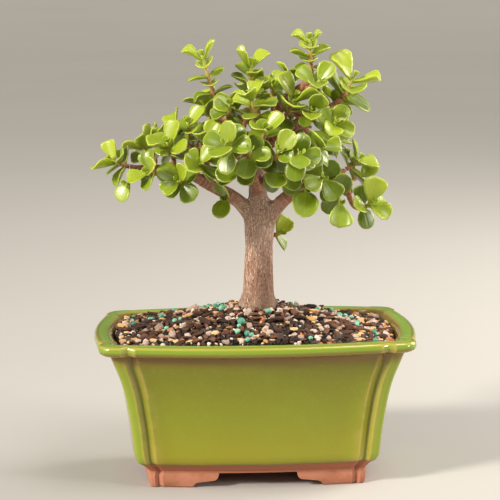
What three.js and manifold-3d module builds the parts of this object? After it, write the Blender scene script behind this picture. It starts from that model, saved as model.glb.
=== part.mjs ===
// A dwarf jade bonsai in a glazed stoneware pot. Millimetres, +Z up, the pot's long side along X.
// The tree is described with its pot centred on the origin; the finished group is then moved so that
// the origin lies at the middle of the whole object's box, on the surface that the feet stand on.
import * as THREE from "three";
import { mergeVertices } from "three/addons/utils/BufferGeometryUtils.js";
import Module from "manifold-3d";

const wasm = await Module();
wasm.setup();

// ---------------------------------------------------------------- driving dimensions
const POT = {
  width: 163.4, // over the rim, along X
  depth: 106, // over the rim, along Y
  height: 76,
  footHeight: 7.5, // the arches between the feet
  apronTop: 11.5, // where the bare clay ends and the glaze begins
  floorBottom: 9,
  floorTop: 15,
  bowX: 4, // how far the short sides bulge, at the rim
  bowY: 6, // how far the long sides bulge, at the rim
};
const DRAIN = { radius: 6, spacing: 56, facets: 14 };
const SCREEN = { size: 20, thick: 0.8, hole: 3.4, pitch: 5.6, rows: 3 };
const GAP = 0.3; // clearance between pieces that touch
const SOIL = {
  edge: 72.3, // height at the middle of the pot's short sides
  lean: 0.012, // fall towards the right
  mound: 13.2, // rise from the edge to the trunk
  moundReach: 46,
  relief: 0.9,
  sectors: 36,
  rings: 7,
};
const CHIPS = {
  count: 24,
  reachX: 64,
  reachY: 37,
  fromTrunk: 4.5,
  size: 1.5, // the smallest, in units of a chip's own form
  more: 1.5, // how much larger the largest is
  sunk: 0.1,
  slivers: 0.4, // share of chips that are slivers of bark
};
const TRUNK_FOOT = new THREE.Vector3(2.2, 4, 0); // where the trunk stands in the soil
const BURIED = 48; // height of the stump's lower end, inside the soil
const HOLE = { top: 11.2, bottom: 8.4 }; // radii of the plain hole that the stump stands in
const LEAF = { thick: 1.7, cup: 0.55, widthShare: 0.92, root: 0.25, open: 50 };
const LIGHT = new THREE.Vector3(-0.2, -0.5, 0.84).normalize(); // where the upper faces turn to
const LIGHT_PULL = { share: 0.38, most: 60 }; // how far of the way, and the widest angle that counts
const LEAF_REACH = 1.0; // half the thickness that a blade is given when it is kept clear of others
const CLEAR = 0.75; // further room between two blades of different shoots
const CLEAR_OWN = 0.1; // and between two blades of one shoot
const CLEAR_WOOD = 0.6; // and between a blade and bark
const STEM = { base: 1.35, tip: 0.95, sides: 4, steps: 2, bare: 1.8 };

const COLOURS = {
  glaze: { color: 0x8a9a34, roughness: 0.22, metalness: 0 },
  soil: { color: 0x5a4436, roughness: 0.95, metalness: 0 },
  bark: { color: 0x8e6a50, roughness: 0.85, metalness: 0 },
  leaf: { color: 0x8fae35, roughness: 0.35, metalness: 0 },
  mesh: { color: 0x23262a, roughness: 0.6, metalness: 0 },
};

// ---------------------------------------------------------------- solids and small helpers
const FINE = 0.1; // edges that a join leaves within this of a flat face or of each other are merged
const radians = THREE.MathUtils.degToRad;
const vec = (p) => new THREE.Vector3(p[0], p[1], p[2]);

/** A seeded draw from 0 to 1, the same in any language that has 64-bit numbers. */
function draws(seed) {
  let state = seed;
  return () => {
    state = (state * 1664525 + 1013904223) % 4294967296;
    return state / 4294967296;
  };
}

function geometryFrom(points, faces) {
  const geometry = new THREE.BufferGeometry();
  geometry.setAttribute("position", new THREE.Float32BufferAttribute(points.flat(), 3));
  geometry.setIndex(faces.flat());
  return geometry;
}

function solidFrom(geometry, matrix) {
  const plain = geometry.clone();
  plain.deleteAttribute("normal");
  plain.deleteAttribute("uv");
  if (matrix) plain.applyMatrix4(matrix);
  const merged = mergeVertices(plain, 1e-4);
  return new wasm.Manifold(
    new wasm.Mesh({
      numProp: 3,
      vertProperties: merged.attributes.position.array,
      triVerts: new Uint32Array(merged.index.array),
    }),
  );
}

function geometryOfSolid(solid) {
  const mesh = solid.getMesh();
  const geometry = new THREE.BufferGeometry();
  geometry.setAttribute("position", new THREE.BufferAttribute(new Float32Array(mesh.vertProperties), 3));
  geometry.setIndex(new THREE.BufferAttribute(new Uint32Array(mesh.triVerts), 1));
  geometry.computeVertexNormals();
  return geometry;
}

const joined = (solids) => wasm.Manifold.union(solids).simplify(FINE);

/** Closes a stack of rings, each a list of [x, y, z] with the same count, into one solid's geometry. */
function loft(rings) {
  const count = rings[0].length;
  const points = rings.flat();
  const faces = [];
  for (let r = 0; r + 1 < rings.length; r++)
    for (let i = 0; i < count; i++) {
      const a = r * count + i;
      const b = r * count + ((i + 1) % count);
      faces.push([a, b, b + count], [a, b + count, a + count]);
    }
  const middle = (ring) => [0, 1, 2].map((k) => ring.reduce((sum, p) => sum + p[k], 0) / count);
  const first = points.length;
  points.push(middle(rings[0]), middle(rings.at(-1)));
  const last = (rings.length - 1) * count;
  for (let i = 0; i < count; i++) {
    const next = (i + 1) % count;
    faces.push([first, next, i], [first + 1, last + i, last + next]);
  }
  return geometryFrom(points, faces);
}

// ---------------------------------------------------------------- the pot
/** The pot's plan at one level: bowed sides and, near each corner, a groove that sets off a round lobe. */
function potPlan({ x, y, lobeX, lobeY, groove, half, z }) {
  const bowX = (POT.bowX * x) / (POT.width / 2);
  const bowY = (POT.bowY * y) / (POT.depth / 2);
  const gx = x - lobeX; // the groove in a long side
  const gy = y - lobeY; // the groove in a short side
  const sideX = (v) => x - bowX * (v / gy) ** 2;
  const sideY = (u) => y - bowY * (u / gx) ** 2;
  const cornerX = x - bowX;
  const cornerY = y - bowY;
  const quarter = [
    [x, 0],
    [sideX(gy * 0.55), gy * 0.55],
    [sideX(gy - half), gy - half],
    [cornerX - groove, gy],
    [cornerX, gy + half],
  ];
  const [lobeWide, lobeDeep] = [cornerX - gx - half, cornerY - gy - half];
  const arc = new THREE.EllipseCurve(gx + half, gy + half, lobeWide, lobeDeep, 0, Math.PI / 2);
  for (const share of [0.25, 0.5, 0.75]) {
    const { x: u, y: v } = arc.getPoint(share);
    quarter.push([u, v]);
  }
  quarter.push(
    [gx + half, cornerY],
    [gx, cornerY - groove],
    [gx - half, sideY(gx - half)],
    [gx * 0.55, sideY(gx * 0.55)],
  );
  const mirrored = (sx, sy) => quarter.map(([u, v]) => [u * sx, v * sy]);
  const backwards = (points) => points.slice(1).reverse(); // without the point that the two quarters share
  const plan = [
    ...mirrored(1, 1),
    [0, y],
    ...backwards(mirrored(-1, 1)),
    ...mirrored(-1, -1),
    [0, -y],
    ...backwards(mirrored(1, -1)),
  ];
  return plan.map(([u, v]) => [u, v, z]);
}

/** The levels of the pot's outside, from its floor up to the top of the rolled rim. */
const OUTER_LEVELS = [
  { z: POT.floorBottom, x: 57.3, y: 32.4, lobeX: 6.5, lobeY: 6.5, groove: 1.6, half: 1.6 },
  { z: POT.apronTop, x: 58.3, y: 33.3, lobeX: 7, lobeY: 7, groove: 1.6, half: 1.6 },
  { z: 12.2, x: 61.2, y: 35.7, lobeX: 8, lobeY: 8, groove: 1.6, half: 1.7 },
  { z: 15, x: 63.5, y: 37.7, lobeX: 9, lobeY: 9, groove: 1.8, half: 1.9 },
  { z: 26, x: 64.8, y: 38.7, lobeX: 9.3, lobeY: 9.3, groove: 2, half: 2 },
  { z: 40, x: 66.8, y: 40.4, lobeX: 9.6, lobeY: 9.6, groove: 2, half: 2 },
  { z: 53, x: 69.4, y: 42.8, lobeX: 10, lobeY: 10, groove: 2, half: 2.1 },
  { z: 63, x: 72.9, y: 45.9, lobeX: 10.8, lobeY: 10.8, groove: 2, half: 2.2 },
  { z: 69.5, x: 75.6, y: 48.1, lobeX: 12.4, lobeY: 12.4, groove: 1.9, half: 2.2 },
  { z: 70.8, x: 79.9, y: 51.5, lobeX: 15.8, lobeY: 15.8, groove: 1.7, half: 2.2 },
  { z: 73, x: POT.width / 2, y: POT.depth / 2, lobeX: 17.5, lobeY: 17.5, groove: 1.6, half: 2.4 },
  { z: 75.2, x: 81.1, y: 52.4, lobeX: 17.2, lobeY: 17.2, groove: 1.2, half: 2.4 },
  { z: POT.height, x: 79.1, y: 50.4, lobeX: 16, lobeY: 16, groove: 0, half: 2.4 },
];
/** The levels of the pot's inside, from the rim down to the floor. */
const INNER_LEVELS = [
  { z: 75.6, x: 74.1, y: 45.4, lobeX: 15, lobeY: 15, groove: 0, half: 2 },
  { z: 73.6, x: 72.2, y: 43.6, lobeX: 15, lobeY: 15, groove: 0, half: 2 },
  { z: 58, x: 65.6, y: 38.6, lobeX: 13, lobeY: 13, groove: 0, half: 2 },
  { z: 20, x: 58, y: 32.2, lobeX: 11, lobeY: 11, groove: 0, half: 2 },
  { z: POT.floorTop, x: 54.4, y: 28.8, lobeX: 10, lobeY: 10, groove: 0, half: 2 },
];
const FOOT_LEVELS = [
  { z: 0, x: 56.4, y: 31.8, lobeX: 5.6, lobeY: 5.6, groove: 1.5, half: 1.4 },
  { z: 6, x: 57.2, y: 32.4, lobeX: 6, lobeY: 6, groove: 1.5, half: 1.4 },
  { z: POT.floorBottom + 0.5, x: 57.1, y: 32.2, lobeX: 6.4, lobeY: 6.4, groove: 1.5, half: 1.5 },
];
/** The bracket's outline beside an arch, as distances from the arch's end and heights. */
const BRACKET = { foot: 13.2, bulge: [12.2, 2.3], tread: [10.4, 2.6], step: [3.6, 3.4], rise: [0.9, 3.9] };
const ARCH = { front: 19.4, side: 5, through: 10 }; // half lengths, and how far the cut runs past the feet
const FOOT_WALL = 9;

/** The bracket that is cut from the foot ring: a low arch that steps and curves down to each foot. */
function archSolid(halfLength, through, turned) {
  const shape = new THREE.Shape();
  const out = halfLength + BRACKET.foot;
  const at = ([away, z], side) => [side * (halfLength + away), z];
  shape.moveTo(-out, -1);
  shape.lineTo(-out, 0);
  shape.quadraticCurveTo(...at(BRACKET.bulge, -1), ...at(BRACKET.tread, -1));
  shape.lineTo(...at(BRACKET.step, -1));
  shape.quadraticCurveTo(...at(BRACKET.rise, -1), -halfLength, POT.footHeight);
  shape.lineTo(halfLength, POT.footHeight);
  shape.quadraticCurveTo(...at(BRACKET.rise, 1), ...at(BRACKET.step, 1));
  shape.lineTo(...at(BRACKET.tread, 1));
  shape.quadraticCurveTo(...at(BRACKET.bulge, 1), out, 0);
  shape.lineTo(out, -1);
  const bar = new THREE.ExtrudeGeometry(shape, { depth: through, bevelEnabled: false, curveSegments: 3 });
  bar.translate(0, 0, -through / 2);
  bar.rotateX(Math.PI / 2);
  if (turned) bar.rotateZ(Math.PI / 2);
  return solidFrom(bar);
}

function potSolid() {
  const body = solidFrom(loft([...OUTER_LEVELS, ...INNER_LEVELS].map(potPlan)));
  const ring = solidFrom(loft(FOOT_LEVELS.map(potPlan)));
  const lowest = FOOT_LEVELS[0];
  const [insideX, insideY] = [2 * (lowest.x - FOOT_WALL), 2 * (lowest.y - FOOT_WALL)];
  const inside = new THREE.BoxGeometry(insideX, insideY, POT.floorBottom + 1);
  inside.translate(0, 0, (POT.floorBottom - 1) / 2);
  const feet = ring
    .subtract(solidFrom(inside))
    .subtract(archSolid(ARCH.front, 2 * lowest.y + ARCH.through, false))
    .subtract(archSolid(ARCH.side, 2 * lowest.x + ARCH.through, true));
  const drains = [-1, 1].map((side) => {
    const { radius, facets } = DRAIN;
    const drill = new THREE.CylinderGeometry(radius, radius, POT.floorTop + 4, facets);
    drill.rotateX(Math.PI / 2);
    drill.translate((side * DRAIN.spacing) / 2, 0, POT.floorTop / 2);
    return solidFrom(drill);
  });
  return joined([body, feet]).subtract(joined(drains));
}

/** A plastic grid that lies on the pot's floor over a drain hole. */
function screenSolid(side) {
  const x = (side * DRAIN.spacing) / 2;
  const z = POT.floorTop + GAP + SCREEN.thick / 2;
  const plate = new THREE.BoxGeometry(SCREEN.size, SCREEN.size, SCREEN.thick);
  const cuts = [];
  for (let i = 0; i < SCREEN.rows; i++)
    for (let j = 0; j < SCREEN.rows; j++) {
      const cut = new THREE.BoxGeometry(SCREEN.hole, SCREEN.hole, SCREEN.thick + 1);
      const at = (k) => (k - (SCREEN.rows - 1) / 2) * SCREEN.pitch;
      cut.translate(at(i), at(j), 0);
      cuts.push(solidFrom(cut));
    }
  return solidFrom(plate).subtract(joined(cuts)).translate([x, 0, z]);
}

// ---------------------------------------------------------------- the soil
const soilHeight = (x, y) => {
  const away = Math.hypot(x - TRUNK_FOOT.x, (y - TRUNK_FOOT.y) * 1.15);
  return SOIL.edge - SOIL.lean * x + SOIL.mound * Math.exp(-((away / SOIL.moundReach) ** 2));
};

function soilSolid() {
  const draw = draws(41);
  const room = GAP + 0.2;
  const inner = INNER_LEVELS.map((level) => ({ ...level, x: level.x - room, y: level.y - room }));
  const wallAt = (z) => {
    const k = inner.findIndex((level) => level.z <= z);
    const [low, high] = [inner[k], inner[k - 1]];
    const share = (z - low.z) / (high.z - low.z);
    const mix = (name) => low[name] + (high[name] - low[name]) * share;
    return { z, x: mix("x"), y: mix("y"), lobeX: mix("lobeX"), lobeY: mix("lobeY"), groove: 0, half: 2 };
  };
  const onCircle = (radius, z, sector) => {
    const angle = (sector / SOIL.sectors) * Math.PI * 2;
    return [TRUNK_FOOT.x + radius * Math.cos(angle), TRUNK_FOOT.y + radius * Math.sin(angle), z];
  };
  // Each ring of the wall is read at the same bearings from the trunk, so that the rings line up.
  const around = (level) => {
    const plan = potPlan(level);
    return Array.from({ length: SOIL.sectors }, (_, sector) => {
      const angle = (sector / SOIL.sectors) * Math.PI * 2;
      const [dx, dy] = [Math.cos(angle), Math.sin(angle)];
      let reach = 0;
      plan.forEach((p, i) => {
        const q = plan[(i + 1) % plan.length];
        const [ax, ay] = [p[0] - TRUNK_FOOT.x, p[1] - TRUNK_FOOT.y];
        const [ex, ey] = [q[0] - p[0], q[1] - p[1]];
        const det = dx * ey - dy * ex;
        if (Math.abs(det) < 1e-9) return;
        const t = (ax * ey - ay * ex) / det;
        const s = (ax * dy - ay * dx) / det;
        if (t > 0 && s >= -1e-9 && s <= 1 + 1e-9) reach = Math.max(reach, t);
      });
      return [TRUNK_FOOT.x + dx * reach, TRUNK_FOOT.y + dy * reach, level.z];
    });
  };
  const wallLevels = [POT.floorTop + GAP, 20, 58];
  const rings = wallLevels.map((z) => around(wallAt(z)));
  const edge = around(wallAt(SOIL.edge - 0.6)).map(([x, y, z]) => [x, y, z - SOIL.lean * x]);
  rings.push(edge);
  for (let r = 1; r <= SOIL.rings; r++) {
    const share = r / SOIL.rings;
    rings.push(
      edge.map((p, sector) => {
        const inside = onCircle(HOLE.top, 0, sector);
        const x = p[0] + (inside[0] - p[0]) * share;
        const y = p[1] + (inside[1] - p[1]) * share;
        const rough = r < SOIL.rings ? (draw() * 2 - 1) * SOIL.relief : 0;
        return [x, y, soilHeight(x, y) + rough];
      }),
    );
  }
  rings.push(edge.map((_, sector) => onCircle(HOLE.bottom, BURIED - GAP, sector)));
  const solids = [solidFrom(loft(rings)), ...soilChips(draw)];
  const pockets = [-1, 1].map((side) => {
    const wide = SCREEN.size + 2 * GAP;
    const pocket = new THREE.BoxGeometry(wide, wide, 2 * (SCREEN.thick + GAP));
    pocket.translate((side * DRAIN.spacing) / 2, 0, POT.floorTop + GAP + 0.2);
    return solidFrom(pocket);
  });
  return joined(solids).subtract(joined(pockets));
}

/** Grit and bark that lie half sunk in the soil's surface, larger ones only. */
function soilChips(draw) {
  const solids = [];
  const corner = { x: 54, y: 27 }; // chips keep out of the pot's round corners
  while (solids.length < CHIPS.count) {
    const x = (draw() * 2 - 1) * CHIPS.reachX;
    const y = (draw() * 2 - 1) * CHIPS.reachY;
    const size = CHIPS.size + draw() * CHIPS.more;
    const sliver = draw() < CHIPS.slivers;
    const turn = new THREE.Euler(draw() * 0.6, draw() * 0.6, draw() * Math.PI);
    const away = Math.hypot(x - TRUNK_FOOT.x, y - TRUNK_FOOT.y);
    const inCorner = Math.abs(x) > corner.x && Math.abs(y) > corner.y;
    if (away < HOLE.top + CHIPS.fromTrunk || inCorner) continue;
    const chip = sliver ? new THREE.BoxGeometry(2.6, 1.1, 1.8) : new THREE.OctahedronGeometry(1.3);
    const place = new THREE.Matrix4().compose(
      new THREE.Vector3(x, y, soilHeight(x, y) - CHIPS.sunk * size),
      new THREE.Quaternion().setFromEuler(turn),
      new THREE.Vector3(size, size * 0.85, size * 0.7),
    );
    solids.push(solidFrom(chip, place));
  }
  return solids;
}

// ---------------------------------------------------------------- the tree's wood
/** Each limb is a smooth curve through its points, with the radius at its two ends. */
const LIMBS = {
  leader: {
    r: [5, 1.7],
    points: [[3, 4, 130], [2.4, 5, 150], [4, 6, 168], [11, 5, 183], [21, 3, 194], [29, 1, 201]],
  },
  left: {
    r: [4, 1.3],
    points: [
      [1, 3, 130],
      [-9, 1, 141],
      [-23, -4, 149.5],
      [-36, -8, 157],
      [-48, -11, 158.5],
      [-60, -10, 158.8],
    ],
  },
  right: {
    r: [4.3, 1.5],
    points: [[5, 3, 128], [14, -1, 139.5], [25, -6, 148.5], [36, -8, 153.5], [46, -7, 152]],
  },
  front: { r: [2.2, 1.5], points: [[3, 3, 142], [0, -8, 153], [-4, -18, 160], [-9, -28, 166]] },
  frontRight: { r: [2.2, 1.5], points: [[3, 4, 146], [9, -7, 156], [14, -19, 162], [17, -29, 165]] },
  upperLeft: { r: [2.6, 1.5], points: [[3, 5, 152], [-6, 4, 164], [-14, 0, 176], [-18, -3, 188]] },
  upperRight: { r: [2.5, 1.5], points: [[4, 6, 164], [17, 5, 174], [31, 2, 182], [43, 0, 190]] },
  back: { r: [2.8, 1.5], points: [[3, 5, 142], [0, 16, 154], [-5, 27, 164], [-10, 35, 170]] },
  backRight: { r: [2.8, 1.5], points: [[4, 6, 146], [15, 15, 155], [26, 24, 162], [36, 28, 165]] },
  backLeft: { r: [2.6, 1.5], points: [[2, 5, 148], [-12, 12, 157], [-26, 18, 162], [-38, 20, 164]] },
};
const MAIN_LIMB = 3; // limbs thicker than this at their foot are given more sides
const LIMB_SIDES = { main: 7, side: 5 };
const LIMB_STEPS = 7;
const TWIG = { start: 1.8, end: 1.5, steps: 2, sides: 4 };

/**
 * The leafy shoots: the limb that bears each and how far along it, the stem's foot and tip, how many
 * pairs of leaves it has, their length, and how far the topmost pair is turned about the stem.
 */
const SHOOTS = [
  { on: "leader", at: 1, foot: [29.6, 0.6, 203], tip: [28.4, -1, 221.5], pairs: 5, leaf: 10.5, turn: 5 },
  { on: "upperLeft", at: 1, foot: [-18.6, -4, 191], tip: [-25.4, -6, 214], pairs: 5, leaf: 10.5, turn: 0 },
  { on: "upperLeft", at: 0.45, foot: [-1.5, 4, 191], tip: [-0.5, 1, 209.5], pairs: 4, leaf: 11, turn: 20 },
  { on: "front", at: 0.5, foot: [0.6, -13, 180], tip: [-1.2, -20, 195], pairs: 4, leaf: 11.5, turn: 65 },
  { on: "leader", at: 0.52, foot: [14.2, -4, 180.5], tip: [21, -10, 193.5], pairs: 4, leaf: 15, turn: 0 },
  {
    on: "upperRight",
    at: 1,
    foot: [44.8, -0.6, 191.5],
    tip: [51, -1.5, 202.4],
    pairs: 3,
    leaf: 15.5,
    turn: 0,
    open: 66,
  },
  { on: "upperRight", at: 0.72, foot: [36.5, -6, 176], tip: [40, -17, 181], pairs: 4, leaf: 12, turn: 60 },
  { on: "leader", at: 0.88, foot: [28, -6, 197], tip: [32.5, -16, 201.5], pairs: 3, leaf: 12, turn: 40 },
  { on: "front", at: 1, foot: [-11, -31, 167.8], tip: [-15.2, -42, 173.5], pairs: 4, leaf: 13, turn: 78 },
  { on: "front", at: 0.86, foot: [-3, -30, 165], tip: [-3.4, -43, 170.5], pairs: 4, leaf: 12, turn: 70 },
  { on: "frontRight", at: 0.7, foot: [9.4, -30, 165], tip: [10.6, -42, 170], pairs: 4, leaf: 11, turn: 55 },
  { on: "frontRight", at: 1, foot: [18, -32, 165.6], tip: [20.4, -45, 169], pairs: 4, leaf: 13, turn: 80 },
  { on: "frontRight", at: 0.62, foot: [24, -21, 166], tip: [32.5, -29, 171], pairs: 4, leaf: 12, turn: 35 },
  { on: "right", at: 0.9, foot: [46.5, -3.4, 156], tip: [53.5, -3, 161.5], pairs: 3, leaf: 11.5, turn: 15 },
  { on: "right", at: 0.72, foot: [32.6, -14, 154], tip: [33.4, -26, 155], pairs: 3, leaf: 13.5, turn: 38 },
  { on: "right", at: 1, foot: [53, -9, 137], tip: [58.4, -16, 140.5], pairs: 3, leaf: 13.5, turn: 90 },
  { on: "right", at: 0.84, foot: [40.4, -13, 146], tip: [42, -24, 142.6], pairs: 3, leaf: 13.5, turn: 78 },
  { on: "right", at: 0.5, foot: [24.6, -12, 150], tip: [25.2, -23, 148.5], pairs: 2, leaf: 14, turn: 82 },
  { on: "frontRight", at: 0.45, foot: [12, -18, 157], tip: [12.6, -29, 158], pairs: 3, leaf: 12, turn: 50 },
  { on: "front", at: 0.45, foot: [-8.4, -18, 158], tip: [-10, -30, 160], pairs: 3, leaf: 12, turn: 40 },
  {
    on: "trunk",
    at: 0.66,
    foot: [10.4, 10.7, 120.9],
    tip: [14, 8.8, 122],
    pairs: 2,
    leaf: 10.6,
    turn: 111,
    open: 62,
  },
  { on: "left", at: 0.62, foot: [-34.6, -13, 152], tip: [-37.8, -25, 154], pairs: 4, leaf: 12, turn: 45 },
  { on: "left", at: 0.32, foot: [-14, -6, 143.6], tip: [-15, -10.6, 143], pairs: 1, leaf: 11.5, turn: 82 },
  { on: "left", at: 1, foot: [-62, -10, 159.4], tip: [-71, -11.4, 163], pairs: 3, leaf: 12, turn: 35 },
  { on: "left", at: 0.8, foot: [-47.6, -15.4, 156.6], tip: [-53, -23, 158], pairs: 3, leaf: 12, turn: 25 },
  { on: "left", at: 0.94, foot: [-59.4, -15, 154], tip: [-63, -19.6, 152.4], pairs: 1, leaf: 10, turn: 70 },
  { on: "left", at: 0.7, foot: [-40, -10.4, 163], tip: [-43, -16, 172], pairs: 4, leaf: 12, turn: 30 },
  { on: "left", at: 0.5, foot: [-30, -7.6, 167], tip: [-33, -11.4, 181.5], pairs: 4, leaf: 11.5, turn: 20 },
  { on: "left", at: 0.42, foot: [-23.4, -9, 164], tip: [-24.4, -18, 174], pairs: 4, leaf: 11.5, turn: 45 },
  { on: "left", at: 0.5, foot: [-26.6, -15, 160], tip: [-27, -28, 163], pairs: 4, leaf: 11.5, turn: 40 },
  { on: "upperLeft", at: 0.8, foot: [-12.6, -8, 183], tip: [-12, -17, 190], pairs: 4, leaf: 11, turn: 30 },
  { on: "leader", at: 0.6, foot: [10, 0, 188], tip: [9.4, -4.4, 199.5], pairs: 4, leaf: 11.5, turn: 45 },
  { on: "leader", at: 0.7, foot: [24, -7, 183], tip: [28, -19, 187], pairs: 4, leaf: 11.5, turn: 60 },
  { on: "front", at: 0.7, foot: [3.4, -22, 172], tip: [5, -31, 179.5], pairs: 4, leaf: 11.5, turn: 30 },
  { on: "back", at: 1, foot: [-11.4, 37, 171.5], tip: [-15, 46, 176.5], pairs: 4, leaf: 12, turn: 30 },
  { on: "back", at: 0.7, foot: [2, 33, 169], tip: [6, 44, 174], pairs: 4, leaf: 12, turn: 60 },
  { on: "backRight", at: 0.75, foot: [23, 33, 167], tip: [26, 43, 171], pairs: 4, leaf: 12, turn: 20 },
  { on: "backRight", at: 1, foot: [38, 29, 166.5], tip: [47, 34, 169], pairs: 4, leaf: 12, turn: 45 },
  { on: "backLeft", at: 0.7, foot: [-24, 27, 165], tip: [-29, 37, 168.5], pairs: 4, leaf: 12, turn: 10 },
  { on: "backLeft", at: 1, foot: [-40.4, 20.6, 165], tip: [-51, 23, 168], pairs: 4, leaf: 12, turn: 50 },
  { on: "upperLeft", at: 0.7, foot: [-19, 9, 180], tip: [-25, 17, 190], pairs: 4, leaf: 12, turn: 35 },
  { on: "leader", at: 0.45, foot: [3.4, 16, 186], tip: [3, 20, 199], pairs: 4, leaf: 11.5, turn: 70 },
  { on: "leader", at: 0.66, foot: [19, 13, 191], tip: [21, 19, 203], pairs: 4, leaf: 11.5, turn: 15 },
  { on: "upperRight", at: 0.8, foot: [39, 9, 186], tip: [46, 16, 192], pairs: 4, leaf: 12, turn: 55 },
  { on: "back", at: 0.55, foot: [-5, 27, 179], tip: [-8, 34, 188], pairs: 4, leaf: 12, turn: 15 },
  { on: "backRight", at: 0.5, foot: [19, 24, 176], tip: [24, 31, 185], pairs: 4, leaf: 12, turn: 40 },
  { on: "right", at: 0.85, foot: [46, 3, 150], tip: [57, 9, 151], pairs: 3, leaf: 12, turn: 30 },
  { on: "backLeft", at: 0.6, foot: [-33, 12, 169], tip: [-41, 12, 177], pairs: 4, leaf: 12, turn: 60 },
  { on: "upperRight", at: 0.55, foot: [33, 14, 172], tip: [43, 19, 174.5], pairs: 4, leaf: 12, turn: 25 },
  { on: "left", at: 0.86, foot: [-50, -5.4, 163], tip: [-56, 1, 169], pairs: 3, leaf: 12, turn: 20 },
];

const limbCurve = (name) =>
  new THREE.CatmullRomCurve3(LIMBS[name].points.map(vec), false, "catmullrom", 0.5);
const mixed = (a, b, share) => a + (b - a) * share;

/** The direction that a run's frames are built on: one that the run as a whole stays clear of. */
function referenceFor(start, end) {
  const whole = end.clone().sub(start).normalize();
  return Math.abs(whole.y) > 0.7 ? new THREE.Vector3(0, 0, 1) : new THREE.Vector3(0, 1, 0);
}

/** Two directions square to a run, the first one lying across the view from the front. */
function acrossFrame(along, reference) {
  const u = along.clone().cross(reference).normalize();
  const v = along.clone().cross(u).normalize();
  return { u, v };
}

/** A round tube along a curve, as a stack of rings square to it. */
function tube(curve, radii, sides, { uneven = () => 1, turn = 0 } = {}) {
  const steps = radii.length - 1;
  const points = curve.getPoints(steps);
  const reference = referenceFor(points[0], points[steps]);
  const rings = points.map((point, i) => {
    const { u, v } = acrossFrame(curve.getTangent(i / steps), reference);
    return Array.from({ length: sides }, (_, k) => {
      const angle = (k / sides) * Math.PI * 2 + turn;
      const radius = radii[i] * uneven(angle, i);
      const p = point.clone();
      p.addScaledVector(u, radius * Math.cos(angle)).addScaledVector(v, radius * Math.sin(angle));
      return [p.x, p.y, p.z];
    });
  });
  return loft(rings);
}

/** Radii that change evenly from one end of a run to the other. */
const taper = (from, to, steps) => Array.from({ length: steps + 1 }, (_, i) => mixed(from, to, i / steps));

/** The trunk's run, with its radius at each point. */
const TRUNK = [
  { p: [2.2, 4, BURIED], r: 7.6 },
  { p: [2.2, 4, 70], r: 8.4 },
  { p: [2.2, 4, 84], r: 9.3 },
  { p: [2.3, 4, 90], r: 8.6 },
  { p: [2.4, 4, 97], r: 7.8 },
  { p: [2.6, 4, 106], r: 7.5 },
  { p: [2.9, 4, 116], r: 7.3 },
  { p: [3.1, 4, 125], r: 7.9 },
  { p: [3.4, 4, 132], r: 8.7 },
  { p: [3.4, 4, 137.5], r: 7.4 },
  { p: [3.0, 4, 141], r: 5.2 },
];
const TRUNK_SIDES = 12;
const TRUNK_FLUTES = {
  above: 80,
  foot: 84,
  over: 20,
  count: 5,
  depth: 0.035,
  footDepth: 0.07,
  uneven: 0.02,
};

const trunkCurve = new THREE.CatmullRomCurve3(TRUNK.map(({ p }) => vec(p)), false, "catmullrom", 0.5);

/** The stem of a shoot: a curve that lifts a little towards its tip. */
function stemCurve(shoot) {
  const foot = vec(shoot.foot);
  const tip = vec(shoot.tip);
  const middle = foot.clone().add(tip).multiplyScalar(0.5);
  middle.z -= 0.1 * Math.hypot(tip.x - foot.x, tip.y - foot.y);
  return new THREE.QuadraticBezierCurve3(foot, middle, tip);
}

/** The woody twig that joins a shoot's foot to its limb, running into the stem's own direction. */
function twigCurve(shoot) {
  const start = (shoot.on === "trunk" ? trunkCurve : limbCurve(shoot.on)).getPoint(shoot.at);
  const foot = vec(shoot.foot);
  const along = stemCurve(shoot).getTangent(0);
  const end = foot.clone().addScaledVector(along, -GAP);
  const reach = end.distanceTo(start);
  const before = end.clone().addScaledVector(along, -0.4 * reach);
  const after = start.clone().lerp(before, 0.35);
  return new THREE.CubicBezierCurve3(start, after, before, end);
}

function woodSolid() {
  const { above, foot, over, count, depth, footDepth, uneven } = TRUNK_FLUTES;
  const flutes = (angle, i) => {
    const high = TRUNK[i].p[2];
    if (high < above) return 1;
    const deep = mixed(footDepth, depth, THREE.MathUtils.clamp((high - foot) / over, 0, 1));
    return 1 + deep * Math.sin(count * angle + high * 0.02) + uneven * Math.sin(3 * angle + high * 0.15);
  };
  const trunk = tube(trunkCurve, TRUNK.map(({ r }) => r), TRUNK_SIDES, { uneven: flutes });
  const solids = [solidFrom(trunk)];
  for (const name of Object.keys(LIMBS)) {
    const [thick, thin] = LIMBS[name].r;
    const sides = thick > MAIN_LIMB ? LIMB_SIDES.main : LIMB_SIDES.side;
    solids.push(solidFrom(tube(limbCurve(name), taper(thick, thin, LIMB_STEPS), sides)));
  }
  const twigRadii = taper(TWIG.start, TWIG.end, TWIG.steps);
  for (const shoot of SHOOTS)
    solids.push(solidFrom(tube(twigCurve(shoot), twigRadii, TWIG.sides)));
  return joined(solids);
}

// ---------------------------------------------------------------- the leaves
/** Half the blade's width at shares of its length: a wedge that opens to a broad round end. */
const BLADE = [
  [0.33, 0.42],
  [0.66, 1],
  [0.9, 0.72],
];
const MIDRIB = [0.32, 0.74]; // where the blade is thickest, as shares of its length

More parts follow.
